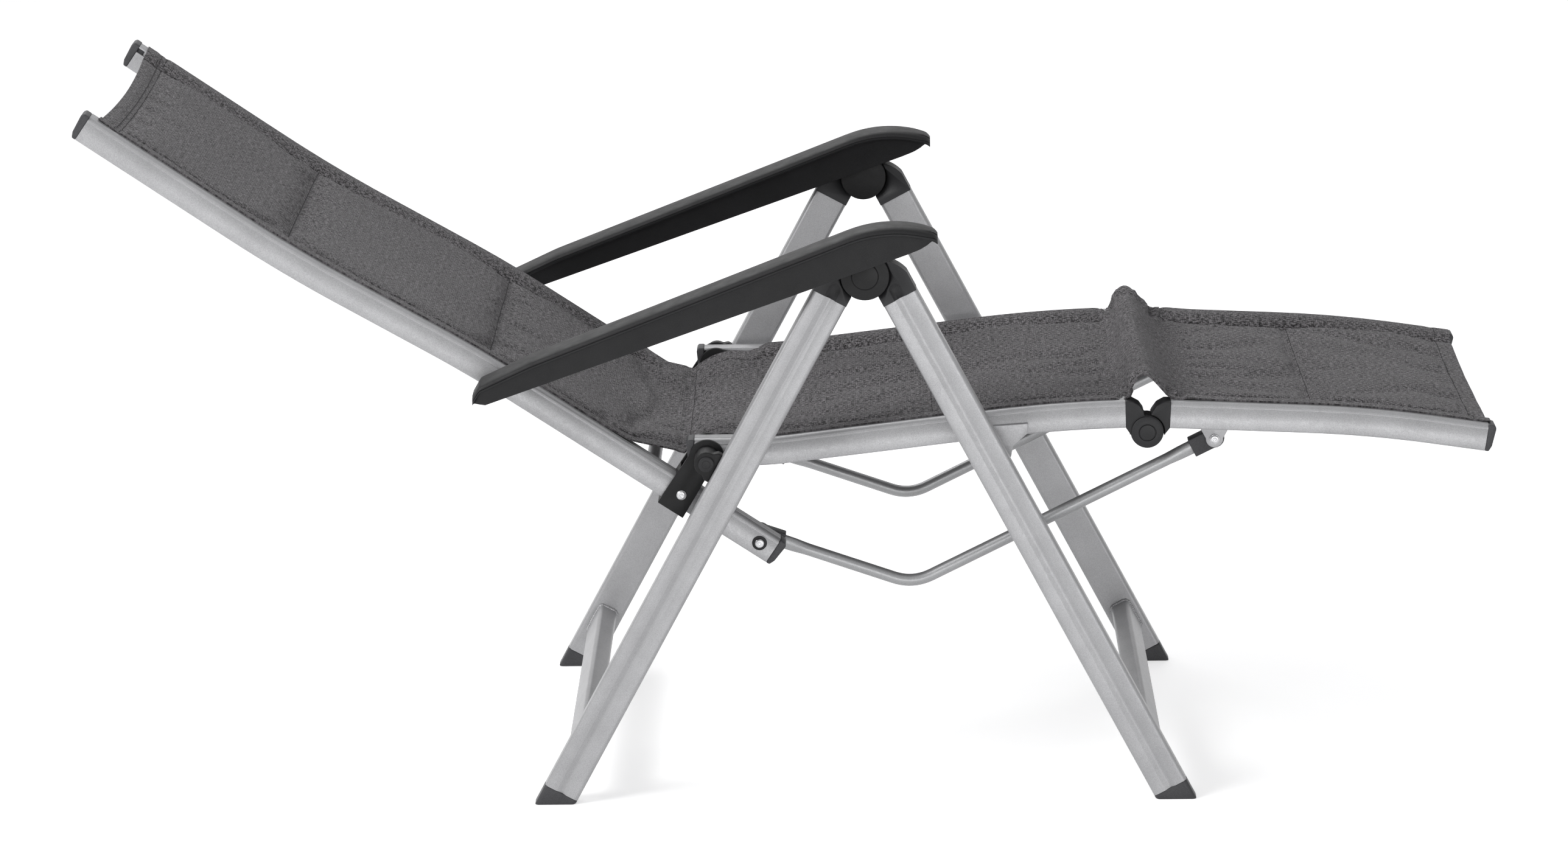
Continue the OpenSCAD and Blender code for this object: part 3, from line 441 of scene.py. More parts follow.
def side_normals(line):
    """Upward normals of a line in the side plane."""
    run = np.gradient(line, axis=0)
    run /= np.linalg.norm(run, axis=1)[:, None]
    return np.stack([-run[:, 1], run[:, 0]], axis=1)


def loft(name, *skins):
    """A mesh of closed skins, each over rings of as many points."""
    bm = bmesh.new()
    for rings in skins:
        rows = [[bm.verts.new(p) for p in ring] for ring in rings]
        count = len(rows[0])
        for a, b in zip(rows, rows[1:]):
            for i in range(count):
                k = (i + 1) % count
                bm.faces.new((a[i], a[k], b[k], b[i]))
        bm.faces.new(rows[0])
        bm.faces.new(list(reversed(rows[-1])))
    bmesh.ops.remove_doubles(bm, verts=bm.verts, dist=MERGE)
    bmesh.ops.recalc_face_normals(bm, faces=bm.faces)
    return mesh_of(name, bm)


def stand_in(node, ending, skins, material, slot, sharp_over):
    """Closed skins in a node's place."""
    name = node + ending
    fixed(piece(name, loft(name, *skins), material, sharp_over), body_of[node], slot, node)


def corner_arc(cx, cy, r, a0, a1, n=5):
    """Points round a centre, from one angle to another in degrees."""
    return [(cx + r * math.cos(math.radians(a0 + (a1 - a0) * i / n)),
             cy + r * math.sin(math.radians(a0 + (a1 - a0) * i / n))) for i in range(n + 1)]


# ------------------------------------------------------------------ rails
RAIL_DEPTH = 33 * MM
RAIL_STEP = 24 * MM      # longest straight stretch between two rings


def rail_profile(w, h):
    """The rail's section from its inner side (0) to its outer side (w), depth downwards:
    a bead over a fine groove at the outer top edge, and the keder slot inside."""
    small = 2.2 * MM
    loop = [(w - a * MM, d * MM) for a, d in ((11.5, 0), (11.2, 0.9), (10.4, 0.9), (10, 0))]
    loop += [(w - 9 * MM + 8.4 * MM * math.sin(math.radians(a)),
              5.0 * MM - 5.0 * MM * math.cos(math.radians(a))) for a in range(10, 90, 13)]
    groove = ((0.2, 5.0), (0, 5.9), (0.7, 6.5), (0.7, 7.0), (0, 7.6))
    loop += [(w - a * MM, d * MM) for a, d in groove]
    loop += corner_arc(w - small, h - small, small, 0, 90)
    loop += corner_arc(small, h - small, small, 90, 180)
    loop += [(a * MM, d * MM) for a, d in ((0, 9), (3.5, 8.6), (3.5, 3.4), (0.4, 3))]
    loop += corner_arc(1.4 * MM, 1.4 * MM, 1.4 * MM, 180, 270, 3)
    return loop


def rail(node):
    low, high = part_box(node)
    line, _ = side_lines(node)
    fine = []
    for a, b in zip(line, line[1:]):
        steps = max(1, int(np.linalg.norm(b - a) / RAIL_STEP))
        fine += [a + (b - a) * i / steps for i in range(steps)]
    line = np.array(fine + [line[-1]])
    outer = 1 if high[1] > 0 else -1
    inner_y = low[1] if outer > 0 else high[1]
    profile = rail_profile(high[1] - low[1], RAIL_DEPTH)
    rings = [[(p[0] - n[0] * d, inner_y + outer * a, p[1] - n[1] * d) for a, d in profile]
             for p, n in zip(line, side_normals(line))]
    stand_in(node, "_profile", (rings,), METAL, "frame_metal", 50)


for rail_node in nodes_like("_rail_"):
    rail(rail_node)


# ------------------------------------------------------------------ armrests
ARM_STEP = 6 * MM        # distance between rings, away from the ends
ARM_WALL = 4 * MM        # thickness of the solid's wall
EAR_RADIUS = 17 * MM
END_RINGS = (0.2, 0.8, 1.8, 3.2, 5, 7, 9.5, 12.5, 16, 20, 24, 28)    # mm from either end


def lower_hull(points):
    hull = []
    for p in sorted(points):
        while len(hull) > 1 and ((hull[-1][0] - hull[-2][0]) * (p[1] - hull[-2][1])
                                 - (hull[-1][1] - hull[-2][1]) * (p[0] - hull[-2][0])) <= 0:
            hull.pop()
        hull.append(p)
    return np.array(hull)


def arm_section(w, top, low):
    """Half of the moulding's section, w wide, from its crown to the middle of its hollow.
    The wall round the hollow comes down to low."""
    foot = min(low, top - 11.5 * MM)
    crown = [(share * w, top + rise * MM) for share, rise in ((0, 0.7), (0.4, 0.55), (0.7, 0.15))]
    lip = ((6, 0.5), (3.4, 1.3), (1.5, 2.7), (0.4, 4.6), (0.2, 5.5), (1.0, 6.0), (0.9, 6.5),
           (0, 6.9), (0.1, 8.4), (0.9, 9.6), (3.6, 10.1), (4.2, 10.9))
    rim = ((4.2, 1.4), (4.8, 0.2), (5.6, 0), (6.6, 0.3), (7.0, 1.4))
    return (crown + [(w - a * MM, top - d * MM) for a, d in lip]
            + [(w - a * MM, foot + d * MM) for a, d in rim]
            + [(w - a * MM, top - d * MM) for a, d in ((7.0, 10.9), (9.0, 10.2))]
            + [(0.3 * w, top - 10.0 * MM), (0, top - 10.0 * MM)])


def arm_share(x, x0, x1):
    """The share of its width that the armrest has at x: blunt ends, slimmer at the foot end."""
    share = 1.0
    for gap, reach, blunt in ((x1 - x, 30 * MM, 0.42), (x - x0, 12 * MM, 0.72)):
        if gap < reach:
            share *= blunt + (1 - blunt) * math.sqrt(1 - (1 - gap / reach) ** 2)
    return share * (1 - 0.10 * max(0.0, 1 - (x1 - x) / (120 * MM)) ** 1.5)


def arm_ear(node):
    """Both sides of the ear that goes down over the apex pin."""
    apex = middle(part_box("apex_pins"))
    ear = [v.co.y for v in NODES[node].data.vertices
           if math.hypot(v.co.x - apex.x, v.co.z - apex.z) < EAR_RADIUS]
    outline = corner_arc(0, 0, 16 * MM, 200, 340, 14)
    outline += [(a * MM, b * MM) for a, b in ((13, 10), (10, 56), (-14, 48), (-13, 10))]
    return [[(apex.x + a, y, apex.z + b) for a, b in outline] for y in (min(ear), max(ear))]


def armrest(side):
    node = "armrest_" + side
    low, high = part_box(node)
    y = middle((low, high)).y
    half = (high[1] - low[1]) / 2
    top, _ = side_lines(node, 0.35)
    wall = {(round(v.co.x, 5), round(v.co.z, 5)) for v in NODES[node].data.vertices
            if abs(abs(v.co.y - y) - (half - ARM_WALL)) < 1e-5}
    under = lower_hull(wall)
    x0, x1 = top[0][0], top[-1][0]
    xs = [x0 + e * MM for e in END_RINGS]
    xs += list(np.arange(x0 + 34 * MM, x1 - 32 * MM, ARM_STEP))
    xs += [x1 - e * MM for e in reversed(END_RINGS)]
    rings = []
    for x in xs:
        crown = float(np.interp(x, top[:, 0], top[:, 1]))
        crown -= 3.5 * MM * max(0.0, 1 - (x1 - x) / (7 * MM)) ** 2
        foot = float(np.interp(x, under[:, 0], under[:, 1]))
        section = arm_section(half * arm_share(x, x0, x1), crown, foot)
        rings.append([(x, y + a, b) for a, b in section]
                     + [(x, y - a, b) for a, b in reversed(section[1:-1])])
    stand_in(node, "_moulding", (rings, arm_ear(node)), MOULD, "moulding", 48)


armrest("right")
armrest("left")


# ------------------------------------------------------------------ softened hard pieces
GROOVE_HALF = 7.1 * MM       # half the groove's width at the leg's outer face
GROOVE_DEPTH = 3.3 * MM
GROOVE_FOOT = 1 * MM         # its deepest line, off the middle of the face
ROUND_DEPTH = 2.7 * MM       # the solid's groove is shallower than this


def sharpen_groove(obj):
    """The round groove down a leg's outer face becomes a V with two flat banks."""
    verts = obj.data.vertices
    co = np.array([v.co[:] for v in verts])
    flat = co[:, [0, 2]] - co[:, [0, 2]].mean(0)
    run = np.linalg.svd(flat, full_matrices=False)[2][0]
    across = flat @ (np.array([run[1], -run[0]]) * (1 if run[1] > 0 else -1))
    across -= (across.min() + across.max()) / 2
    side = np.sign(co[:, 1].mean())
    face = np.abs(co[:, 1]).max()
    inside = face - np.abs(co[:, 1])
    for i in np.flatnonzero((np.abs(across) < GROOVE_HALF) & (inside > 1e-5)
                            & (inside < ROUND_DEPTH)):
        a = across[i]
        share = ((GROOVE_HALF - a) / (GROOVE_HALF - GROOVE_FOOT) if a > GROOVE_FOOT
                 else (a + GROOVE_HALF) / (GROOVE_FOOT + GROOVE_HALF))
        verts[i].co.y = side * (face - GROOVE_DEPTH * share)


for leg in nodes_like("rear_leg_", "front_leg_"):
    sharpen_groove(rounded_copy(leg, METAL, "frame_metal", sharp_over=18))
for words, material, slot, width in (
        ("stretcher", METAL, "frame_metal", 0.0),
        ("_tube", TUBE, "frame_metal", 0.0),
        ("support_hooks", METAL, "frame_metal", 0.7 * MM),
        ("link_brackets", METAL, "frame_metal", 0.8 * MM),
        ("knuckle", COVER, "moulding", 0.0),
        ("apex_covers", HUB, "moulding", 1.0 * MM),
        ("hinge_block", HUB, "moulding", 1.4 * MM),
        ("back_bracket", HUB, "moulding", 0.7 * MM),
        ("knee_yoke knee_tongue", COVER, "moulding", 1.2 * MM),
        ("latch_rack", CAPS, "moulding", 0.0),
        ("_foot_", CAPS, "cap_plastic", 1.8 * MM),
        ("_caps", CAPS, "cap_plastic", 1.6 * MM),
        ("link_sleeves", CAPS, "cap_plastic", 1.2 * MM),
        ("apex_pins support_studs latch_pins", STEEL, "steel", 0.5 * MM),
        ("knee_pins", MOULD, "steel", 0.7 * MM),
        ("seat_hinge_pins", MOULD, "steel", 0.8 * MM),
        ("rod_rivets", RUBBER, "steel", 0.4 * MM),
        ("bracket_rivets", STEEL, "steel", 0.4 * MM)):
    for node in nodes_like(*words.split()):
        rounded_copy(node, material, slot, width)


# ------------------------------------------------------------------ link rods
ROD_BEND = 60 * MM       # radius of the bend
ROD_SIDES = 28


def link_rod(side):
    """A bent round tube whose ends are pressed flatter where they enter the sleeves."""
    node = "link_rod_" + side
    low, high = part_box(node)
    mesh = NODES[node].data
    r = (high[1] - low[1]) / 2 - 0.15 * MM
    at_end = 2 * r * 1.2
    ends = []
    for sign, x_end in ((1, low[0]), (-1, high[0])):
        near = [v.co for v in mesh.vertices if abs(v.co.x - x_end) < at_end]
        centre = sum((Vector(c) for c in near), Vector()) / len(near)
        flat = [p.normal for p in mesh.polygons
                if all(abs(mesh.vertices[i].co.x - x_end) < at_end for i in p.vertices)
                and abs(p.normal.y) < 0.01 and p.normal.x * sign < -0.3]
        run = -sum((Vector(n) for n in flat), Vector()).normalized()
        ends.append((centre, run))
    (a, from_a), (b, from_b) = ends
    det = from_a.x * -from_b.z + from_b.x * from_a.z
    reach = ((b.x - a.x) * -from_b.z + from_b.x * (b.z - a.z)) / det
    corner = a + from_a * reach
    turn = math.acos(max(-1, min(1, from_a.dot(-from_b))))
    lead = ROD_BEND * math.tan(turn / 2)
    start, stop = corner - from_a * lead, corner - from_b * lead
    path = [a + (start - a) * i / 24 for i in range(24)]
    path += [start.lerp(corner, i / 10).lerp(corner.lerp(stop, i / 10), i / 10)
             for i in range(10)]
    path += [stop + (b - stop) * i / 24 for i in range(25)]
    rings = []
    for i, p in enumerate(path):
        run = (path[min(i + 1, len(path) - 1)] - path[max(i - 1, 0)]).normalized()
        side_way = Vector((-run.z, 0, run.x))
        from_end = min((p - a).length, (p - b).length)
        press = max(0.0, min(1.0, (48 * MM - from_end) / (26 * MM)))
        press = press * press * (3 - 2 * press)
        rings.append([p + side_way * (r * (1 + 0.16 * press) * math.cos(t))
                      + Vector((0, r * (1 - 0.30 * press) * math.sin(t), 0))
                      for t in [math.tau * k / ROD_SIDES for k in range(ROD_SIDES)]])
    stand_in(node, "_tube", (rings,), TUBE, "frame_metal", 50)


link_rod("right")
link_rod("left")


# ------------------------------------------------------------------ sling
def cad_edges():
    """X, half width and height of the slings' edges, row by row, from the solids."""
    rows = {}
    for node in ("back_sling", "seat_sling", "legrest_sling"):
        for v in NODES[node].data.vertices:
            key = round(v.co.x, 5)
            width, z = rows.get(key, (0, 0))
            if v.co.y > width + 1e-6 or (v.co.y > width - 1e-6 and v.co.z > z):
                rows[key] = (max(width, v.co.y), v.co.z)
    return np.array([(x, w, z) for x, (w, z) in sorted(rows.items())])


def eased(x, low, high):
    """From 0 at low to 1 at high, level at both."""
    t = np.clip((x - low) / (high - low), 0, 1)
    return t * t * (3 - 2 * t)


def hollow(x, middle_x, width):
    """1 in the middle of a soft valley and 0 well beside it."""
    return np.exp(-((x - middle_x) / width) ** 2)


def wavy(a, b, seed):
    """Smooth noise over two arrays of the same shape."""
    values = [noise.noise(Vector((p, q, seed))) for p, q in zip(a.ravel(), b.ravel())]
    return np.array(values).reshape(a.shape)


EDGES = cad_edges()
FOLD_LOW, FOLD_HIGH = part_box("knee_fold")
HINGE = middle(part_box("seat_hinge_pins"))
KNEE = middle(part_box("knee_pins"))
FOLD_FOOT = KNEE.z + 34.8 * MM
PEAK_X = KNEE.x - 2.5 * MM       # highest line of the fold over the knee
CREASE_X = HINGE.x - 30 * MM     # where the cloth bends between back and seat
SPLIT_X = 0.167                  # the seam of the seat, where the two pieces meet
BACK_SEAMS = (-0.602, -0.361)
REST_SEAM = 0.629
SEAMS = BACK_SEAMS + (SPLIT_X, REST_SEAM)
HEAD_HEMS = (17 * MM, 23 * MM)   # two rows of stitches, from the head end
FOOT_HEM = 20 * MM               # one row, from the foot end
HALF = 0.244                     # half width of the sling where it lies on the rails
NECK, CAD_HALF = EDGES[:, 1].min(), EDGES[:, 1].max()
ON_RAIL = 17 * MM                # width of its edge that lies on a rail
BAND = 42 * MM                   # width of the flat band beside the rails
STEP = 4.6 * MM                  # distance between the rows of the cloth
THIN_HEAD, THIN_FOOT = 30 * MM, 24 * MM    # how far the padding thins out at either end
PANEL_STEP = 8.5 * MM            # distance between the points of the cloth run
HELD_BESIDE = 4.4 * MM           # how far from a seam the cloth run holds its points
RUN_STEPS = 18
MOST_SHIFT = 3.6 * MM            # what the cloth run may move a point


def smoothed(line, turns, still=None):
    for _ in range(turns):
        step = line[1:-1] * -0.5 + (line[:-2] + line[2:]) * 0.25
        line[1:-1] += step if still is None else step * (1 - still[1:-1, None])
    return line


def lengths(line):
    """How far along a line each of its points is."""
    return np.concatenate([[0], np.cumsum(np.linalg.norm(np.diff(line, axis=0), axis=1))])


def points_at(line, s):
    """The points of a line at the lengths s along it."""
    length = lengths(line)
    return np.stack([np.interp(s, length, line[:, 0]), np.interp(s, length, line[:, 1])], 1)


def sling_line():
    """The edge line of the whole sling, head to foot, as evenly spaced (x, z) points."""
    before = [(x, z) for x, w, z in EDGES if x < FOLD_LOW[0] - 6 * MM]
    after = [(x, z) for x, w, z in EDGES if x > FOLD_HIGH[0] + 6 * MM]
    top = FOLD_HIGH[2] + 1.5 * MM
    near_foot, near_top, far_foot = (
        [(PEAK_X + a * MM, height + b * MM) for a, b in offsets] for height, offsets in (
            (FOLD_FOOT, ((-27, 0), (-22.5, 5))),
            (top, ((-17, -16), (-9, -3.5), (0, 0), (8, -4), (18, -15))),
            (FOLD_FOOT, ((30, 7), (42, 0.5)))))
    (xa, za), (xb, zb) = after[-2], after[-1]
    share = 5 * MM / (xb - xa)
    after.append((xb + (xb - xa) * share, zb + (zb - za) * share))
    rough = np.array(before + near_foot + near_top + far_foot + after)
    line = points_at(rough, np.arange(0, lengths(rough)[-1], 1 * MM))
    sharp = eased(line[:, 0], PEAK_X - 60 * MM, PEAK_X - 36 * MM)
    sharp *= 1 - eased(line[:, 0], PEAK_X + 52 * MM, PEAK_X + 76 * MM)
    line = smoothed(smoothed(line, 34, sharp), 9)
    whole = lengths(line)[-1]
    s = np.linspace(0, whole, int(whole / STEP))
    return s, points_at(line, s)


def columns():
    """Distances of the sling's columns from its edge, close together near the edge."""
    near = [0, 0.6, 1.6, 4, 8, 12, 15.5, 18, 20.5, 23.5, 27, 31, 35, 38.5, 40.6, 42, 43.4, 45.5,
            49, 54]
    out = [u * MM for u in near]
    count = int((HALF - out[-1]) / (5.6 * MM))
    return np.array(out + list(np.linspace(out[-1], HALF, count + 1)[1:]))


def cloth_relief(u, x, y, on_rail, fold):
    """Height of the cloth over its edge line: on the rails, hollow between them, sewn."""
    z = 5.5 * MM * on_rail - 6.6 * MM * eased(u, ON_RAIL - 1 * MM, BAND + 4 * MM) * on_rail
    z -= 0.9 * MM * eased(u, 0, 12 * MM) * (1 - on_rail)
    z -= 1.0 * MM * hollow(u, BAND, 2.4 * MM)
    z += 1.0 * MM * eased(u, BAND, BAND + 26 * MM)
    z -= 4.6 * MM * (1 - (y / HALF) ** 2) * (1 - 0.6 * fold)
    inner = eased(u, BAND - 1 * MM, BAND + 8 * MM)
    pucker = wavy(x / 0.03, y / 0.013, 3.0)
    for seam in SEAMS:
        z -= inner * (2.8 * MM * hollow(x, seam, 3.4 * MM) + 1.0 * MM * hollow(x, seam, 14 * MM))
        z += inner * 0.8 * MM * pucker * hollow(x, seam, 19 * MM)
    for hem in [EDGES[0][0] + gap for gap in HEAD_HEMS] + [EDGES[-1][0] - FOOT_HEM]:
        z -= 1.4 * MM * hollow(x, hem, 2.4 * MM)
    z -= 3.2 * MM * hollow(x, CREASE_X, 4.5 * MM)
    z += 0.9 * MM * pucker * hollow(x, CREASE_X + 6 * MM, 30 * MM)
    z += 1.1 * MM * wavy(x / 0.16, y / 0.11, 7.0) * inner
    z += 0.45 * MM * wavy(x / 0.05, y / 0.04, 11.0) * inner
    return z * (1 - 0.75 * fold)


def fold_relief(s, u, x, y, fold):
    """Gathers where the fold meets the rails, and creases and soft rolls across it."""
    near_edge = eased(u, 3 * MM, 14 * MM) * (1 - eased(u, 26 * MM, 78 * MM))
    flanks = hollow(x, PEAK_X - 24 * MM, 12 * MM) + hollow(x, PEAK_X + 34 * MM, 15 * MM)
    turn = (x - PEAK_X) / (17 * MM) * math.tau + 2.6 * wavy(y / 0.06, x / 0.2, 5.0) + 0.6
    z = 5.2 * MM * near_edge * flanks * np.sin(turn)
    beside = eased(u, 2 * MM, 14 * MM) * (1 - eased(u, 50 * MM, 120 * MM))
    z += 3.4 * MM * fold * beside * wavy(s / 0.011, y / 0.026, 13.0)
    z += 2.2 * MM * fold * eased(u, 6 * MM, 40 * MM) * wavy(s / 0.024, y / 0.08, 9.0)
    z -= 1.5 * MM * fold * eased(u, 8 * MM, 24 * MM) * hollow(x, PEAK_X + 6 * MM, 2.4 * MM)
    z -= 2.0 * MM * fold * (1 - eased(u, 0, 16 * MM))
    return z


def build_cloth():
    """The sling's upper side as a grid of points, each with its distance along the cloth
    and from its edge, and its thickness."""
    s, line = sling_line()
    normals = side_normals(line)
    edge = np.interp(line[:, 0], EDGES[:, 0], EDGES[:, 1])
    on_rail = (edge - NECK) / (CAD_HALF - NECK)
    half = NECK + (HALF - NECK) * on_rail
    cols = columns()
    across = np.concatenate([cols, cols[-2::-1]])
    side = np.concatenate([-np.ones(len(cols)), np.ones(len(cols) - 1)])
    at_fold = (eased(line[:, 0], PEAK_X - 38 * MM, PEAK_X - 20 * MM)
               * (1 - eased(line[:, 0], PEAK_X + 26 * MM, PEAK_X + 54 * MM)))
    s, x, z, on_rail, half, fold, lean, rise = (
        np.repeat(row[:, None], len(across), 1)
        for row in (s, line[:, 0], line[:, 1], on_rail, half, at_fold, *normals.T))
    u = np.repeat(across[None, :], len(s), 0)
    y = side * (HALF - u) * (half / HALF)
    relief = cloth_relief(u, x, y, on_rail, fold) + fold_relief(s, u, x, y, fold)
    # The head end is drawn in between its corners
    pull = 9 * MM * (1 - (y / HALF) ** 2) * (1 - eased(s, 0, 60 * MM))
    grid = np.stack([x + lean * relief + rise * pull, y, z + rise * relief - lean * pull], 2)
    thick = 2.1 * MM + 3.2 * MM * eased(u, BAND - 6 * MM, BAND + 14 * MM)
    padded = eased(s, 0, THIN_HEAD) * (1 - eased(s, s[-1] - THIN_FOOT, s[-1]))
    return s, u, grid, thick * (0.45 + 0.55 * padded)


def surface_normals(grid):
    normals = np.cross(np.gradient(grid, axis=0), np.gradient(grid, axis=1))
    return normals / np.linalg.norm(normals, axis=2)[..., None]


def cloth_piece(name, rows):
    """A closed padded sheet over some rows of the sling's grid."""
    upper, under, along, from_edge = (a[rows] for a in (UPPER, UNDER, ALONG, FROM_EDGE))
    index = np.arange(along.size).reshape(along.shape)
    a, b = index[:-1, :-1].ravel(), index[:-1, 1:].ravel()
    c, d = index[1:, 1:].ravel(), index[1:, :-1].ravel()
    faces = [np.stack([a, d, c, b], 1), np.stack([a, b, c, d], 1) + along.size]
    rim = np.concatenate([index[0, :], index[1:, -1], index[-1, -2::-1], index[-2:0:-1, 0]])
    after = np.roll(rim, -1)
    faces.append(np.stack([rim, after, after + along.size, rim + along.size], 1))
    verts = np.concatenate([upper.reshape(-1, 3), under.reshape(-1, 3)])
    mesh = bpy.data.meshes.new(name)
    mesh.from_pydata(verts.tolist(), [], np.concatenate(faces).tolist())
    bm = bmesh.new()
    bm.from_mesh(mesh)
    bmesh.ops.recalc_face_normals(bm, faces=bm.faces)
    bm.to_mesh(mesh)
    bm.free()
    uv = mesh.uv_layers.new(name="cloth")
    flat = np.stack([np.tile(upper[..., 1].ravel(), 2), np.tile(along.ravel(), 2)], 1)
    loops = np.empty(len(mesh.loops), np.int32)
    mesh.loops.foreach_get("vertex_index", loops)
    uv.data.foreach_set("uv", flat[loops].astype(np.float32).ravel())
    band = mesh.attributes.new("band", "FLOAT", "POINT")
    at_edge = 0.55 * (1 - eased(from_edge, 2.4 * MM, 3.4 * MM))
    band.data.foreach_set("value", np.tile(at_edge.ravel(), 2).astype(np.float32))
    return piece(name, mesh, CLOTH, 70)


def spaced(values, gap):
    """Indices of values at least gap apart, from the first to the last of them."""
    chosen = [0]
    for i, value in enumerate(values):
        if abs(value - values[chosen[-1]]) >= gap:
            chosen.append(i)
    chosen[-1] = len(values) - 1
    return np.array(chosen)


def filled_in(values, at, wanted):
    """The rows of values, known at some places, worked out for the wanted places."""
    columns_of = values.reshape(len(at), -1).T
    rows = np.stack([np.interp(wanted, at, column) for column in columns_of], 1)
    return rows.reshape(len(wanted), *values.shape[1:])


def puffed(grid, along, from_edge):
    """The padded panels fill out and pucker between their seams in a short cloth run
    that holds the edge bands, the seams, both ends and the fold."""
    across = grid[0, :, 1]
    rows, cols = spaced(along[:, 0], PANEL_STEP), spaced(across, PANEL_STEP)
    chosen = np.ix_(rows, cols)
    sub, s, u = grid[chosen], along[chosen], from_edge[chosen]
    index = np.arange(s.size).reshape(s.shape)
    faces = np.stack([index[:-1, :-1].ravel(), index[1:, :-1].ravel(),
                      index[1:, 1:].ravel(), index[:-1, 1:].ravel()], 1)
    mesh = bpy.data.meshes.new("panels")
    mesh.from_pydata(sub.reshape(-1, 3).tolist(), [], faces.tolist())
    obj = bpy.data.objects.new("panels", mesh)
    scene.collection.objects.link(obj)
    x = sub[..., 0]
    held = (u < BAND + 1 * MM) | (s < THIN_HEAD) | (s > along[-1, 0] - THIN_FOOT)
    held |= (x > PEAK_X - 44 * MM) & (x < PEAK_X + 60 * MM)
    for seam in SEAMS + (CREASE_X,):
        held |= np.abs(x - seam) < HELD_BESIDE
    group = obj.vertex_groups.new(name="held")
    group.add(np.flatnonzero(held.ravel()).tolist(), 1.0, "REPLACE")
    cloth = obj.modifiers.new("cloth", "CLOTH")
    settings = cloth.settings
    settings.quality = 5
    settings.mass = 0.25
    settings.tension_stiffness = settings.compression_stiffness = 12
    settings.shear_stiffness = 6
    settings.bending_stiffness = 0.35
    settings.vertex_group_mass = "held"
    settings.shrink_min = -0.012
    settings.use_pressure = True
    settings.uniform_pressure_force = 3.5
    settings.effector_weights.gravity = 0.15
    cloth.collision_settings.use_self_collision = False
    cloth.point_cache.frame_end = 20
    for number in range(1, RUN_STEPS + 1):
        scene.frame_set(number)
    graph = bpy.context.evaluated_depsgraph_get()
    moved = np.empty(sub.size)
    obj.evaluated_get(graph).to_mesh().vertices.foreach_get("co", moved)
    shift = moved.reshape(sub.shape) - sub
    scene.frame_set(1)
    bpy.data.objects.remove(obj)
    size = np.linalg.norm(shift, axis=2)
    shift *= (MOST_SHIFT * np.tanh(size / MOST_SHIFT) / np.maximum(size, 1e-9))[..., None]
    shift = filled_in(shift, along[rows, 0], along[:, 0]).swapaxes(0, 1)
    return grid + filled_in(shift, across[cols], across).swapaxes(0, 1)


ALONG, FROM_EDGE, UPPER, THICK = build_cloth()
UPPER = puffed(UPPER, ALONG, FROM_EDGE)
NORMALS = surface_normals(UPPER)
UNDER = UPPER - NORMALS * THICK[..., None]
CUT = int(np.argmin(np.abs(UPPER[:, 0, 0] - SPLIT_X)))
BACK_BLEND = ((CREASE_X - 22 * MM, 0, HINGE.z), (HINGE.x + 18 * MM, 0, HINGE.z))
KNEE_BLEND = ((KNEE.x - 28 * MM, 0, KNEE.z), (KNEE.x + 36 * MM, 0, KNEE.z))

back_cloth = cloth_piece("back_and_seat_cloth", slice(None, CUT + 1))
rest_cloth = cloth_piece("knee_and_legrest_cloth", slice(CUT, None))
for cloth, replaced, ends, bodies in (
        (back_cloth, ("back_sling", "seat_sling"), BACK_BLEND, ("back", "seat")),
        (rest_cloth, ("knee_fold", "legrest_sling"), KNEE_BLEND, ("seat", "legrest"))):
    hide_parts(*replaced)
    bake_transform(cloth)


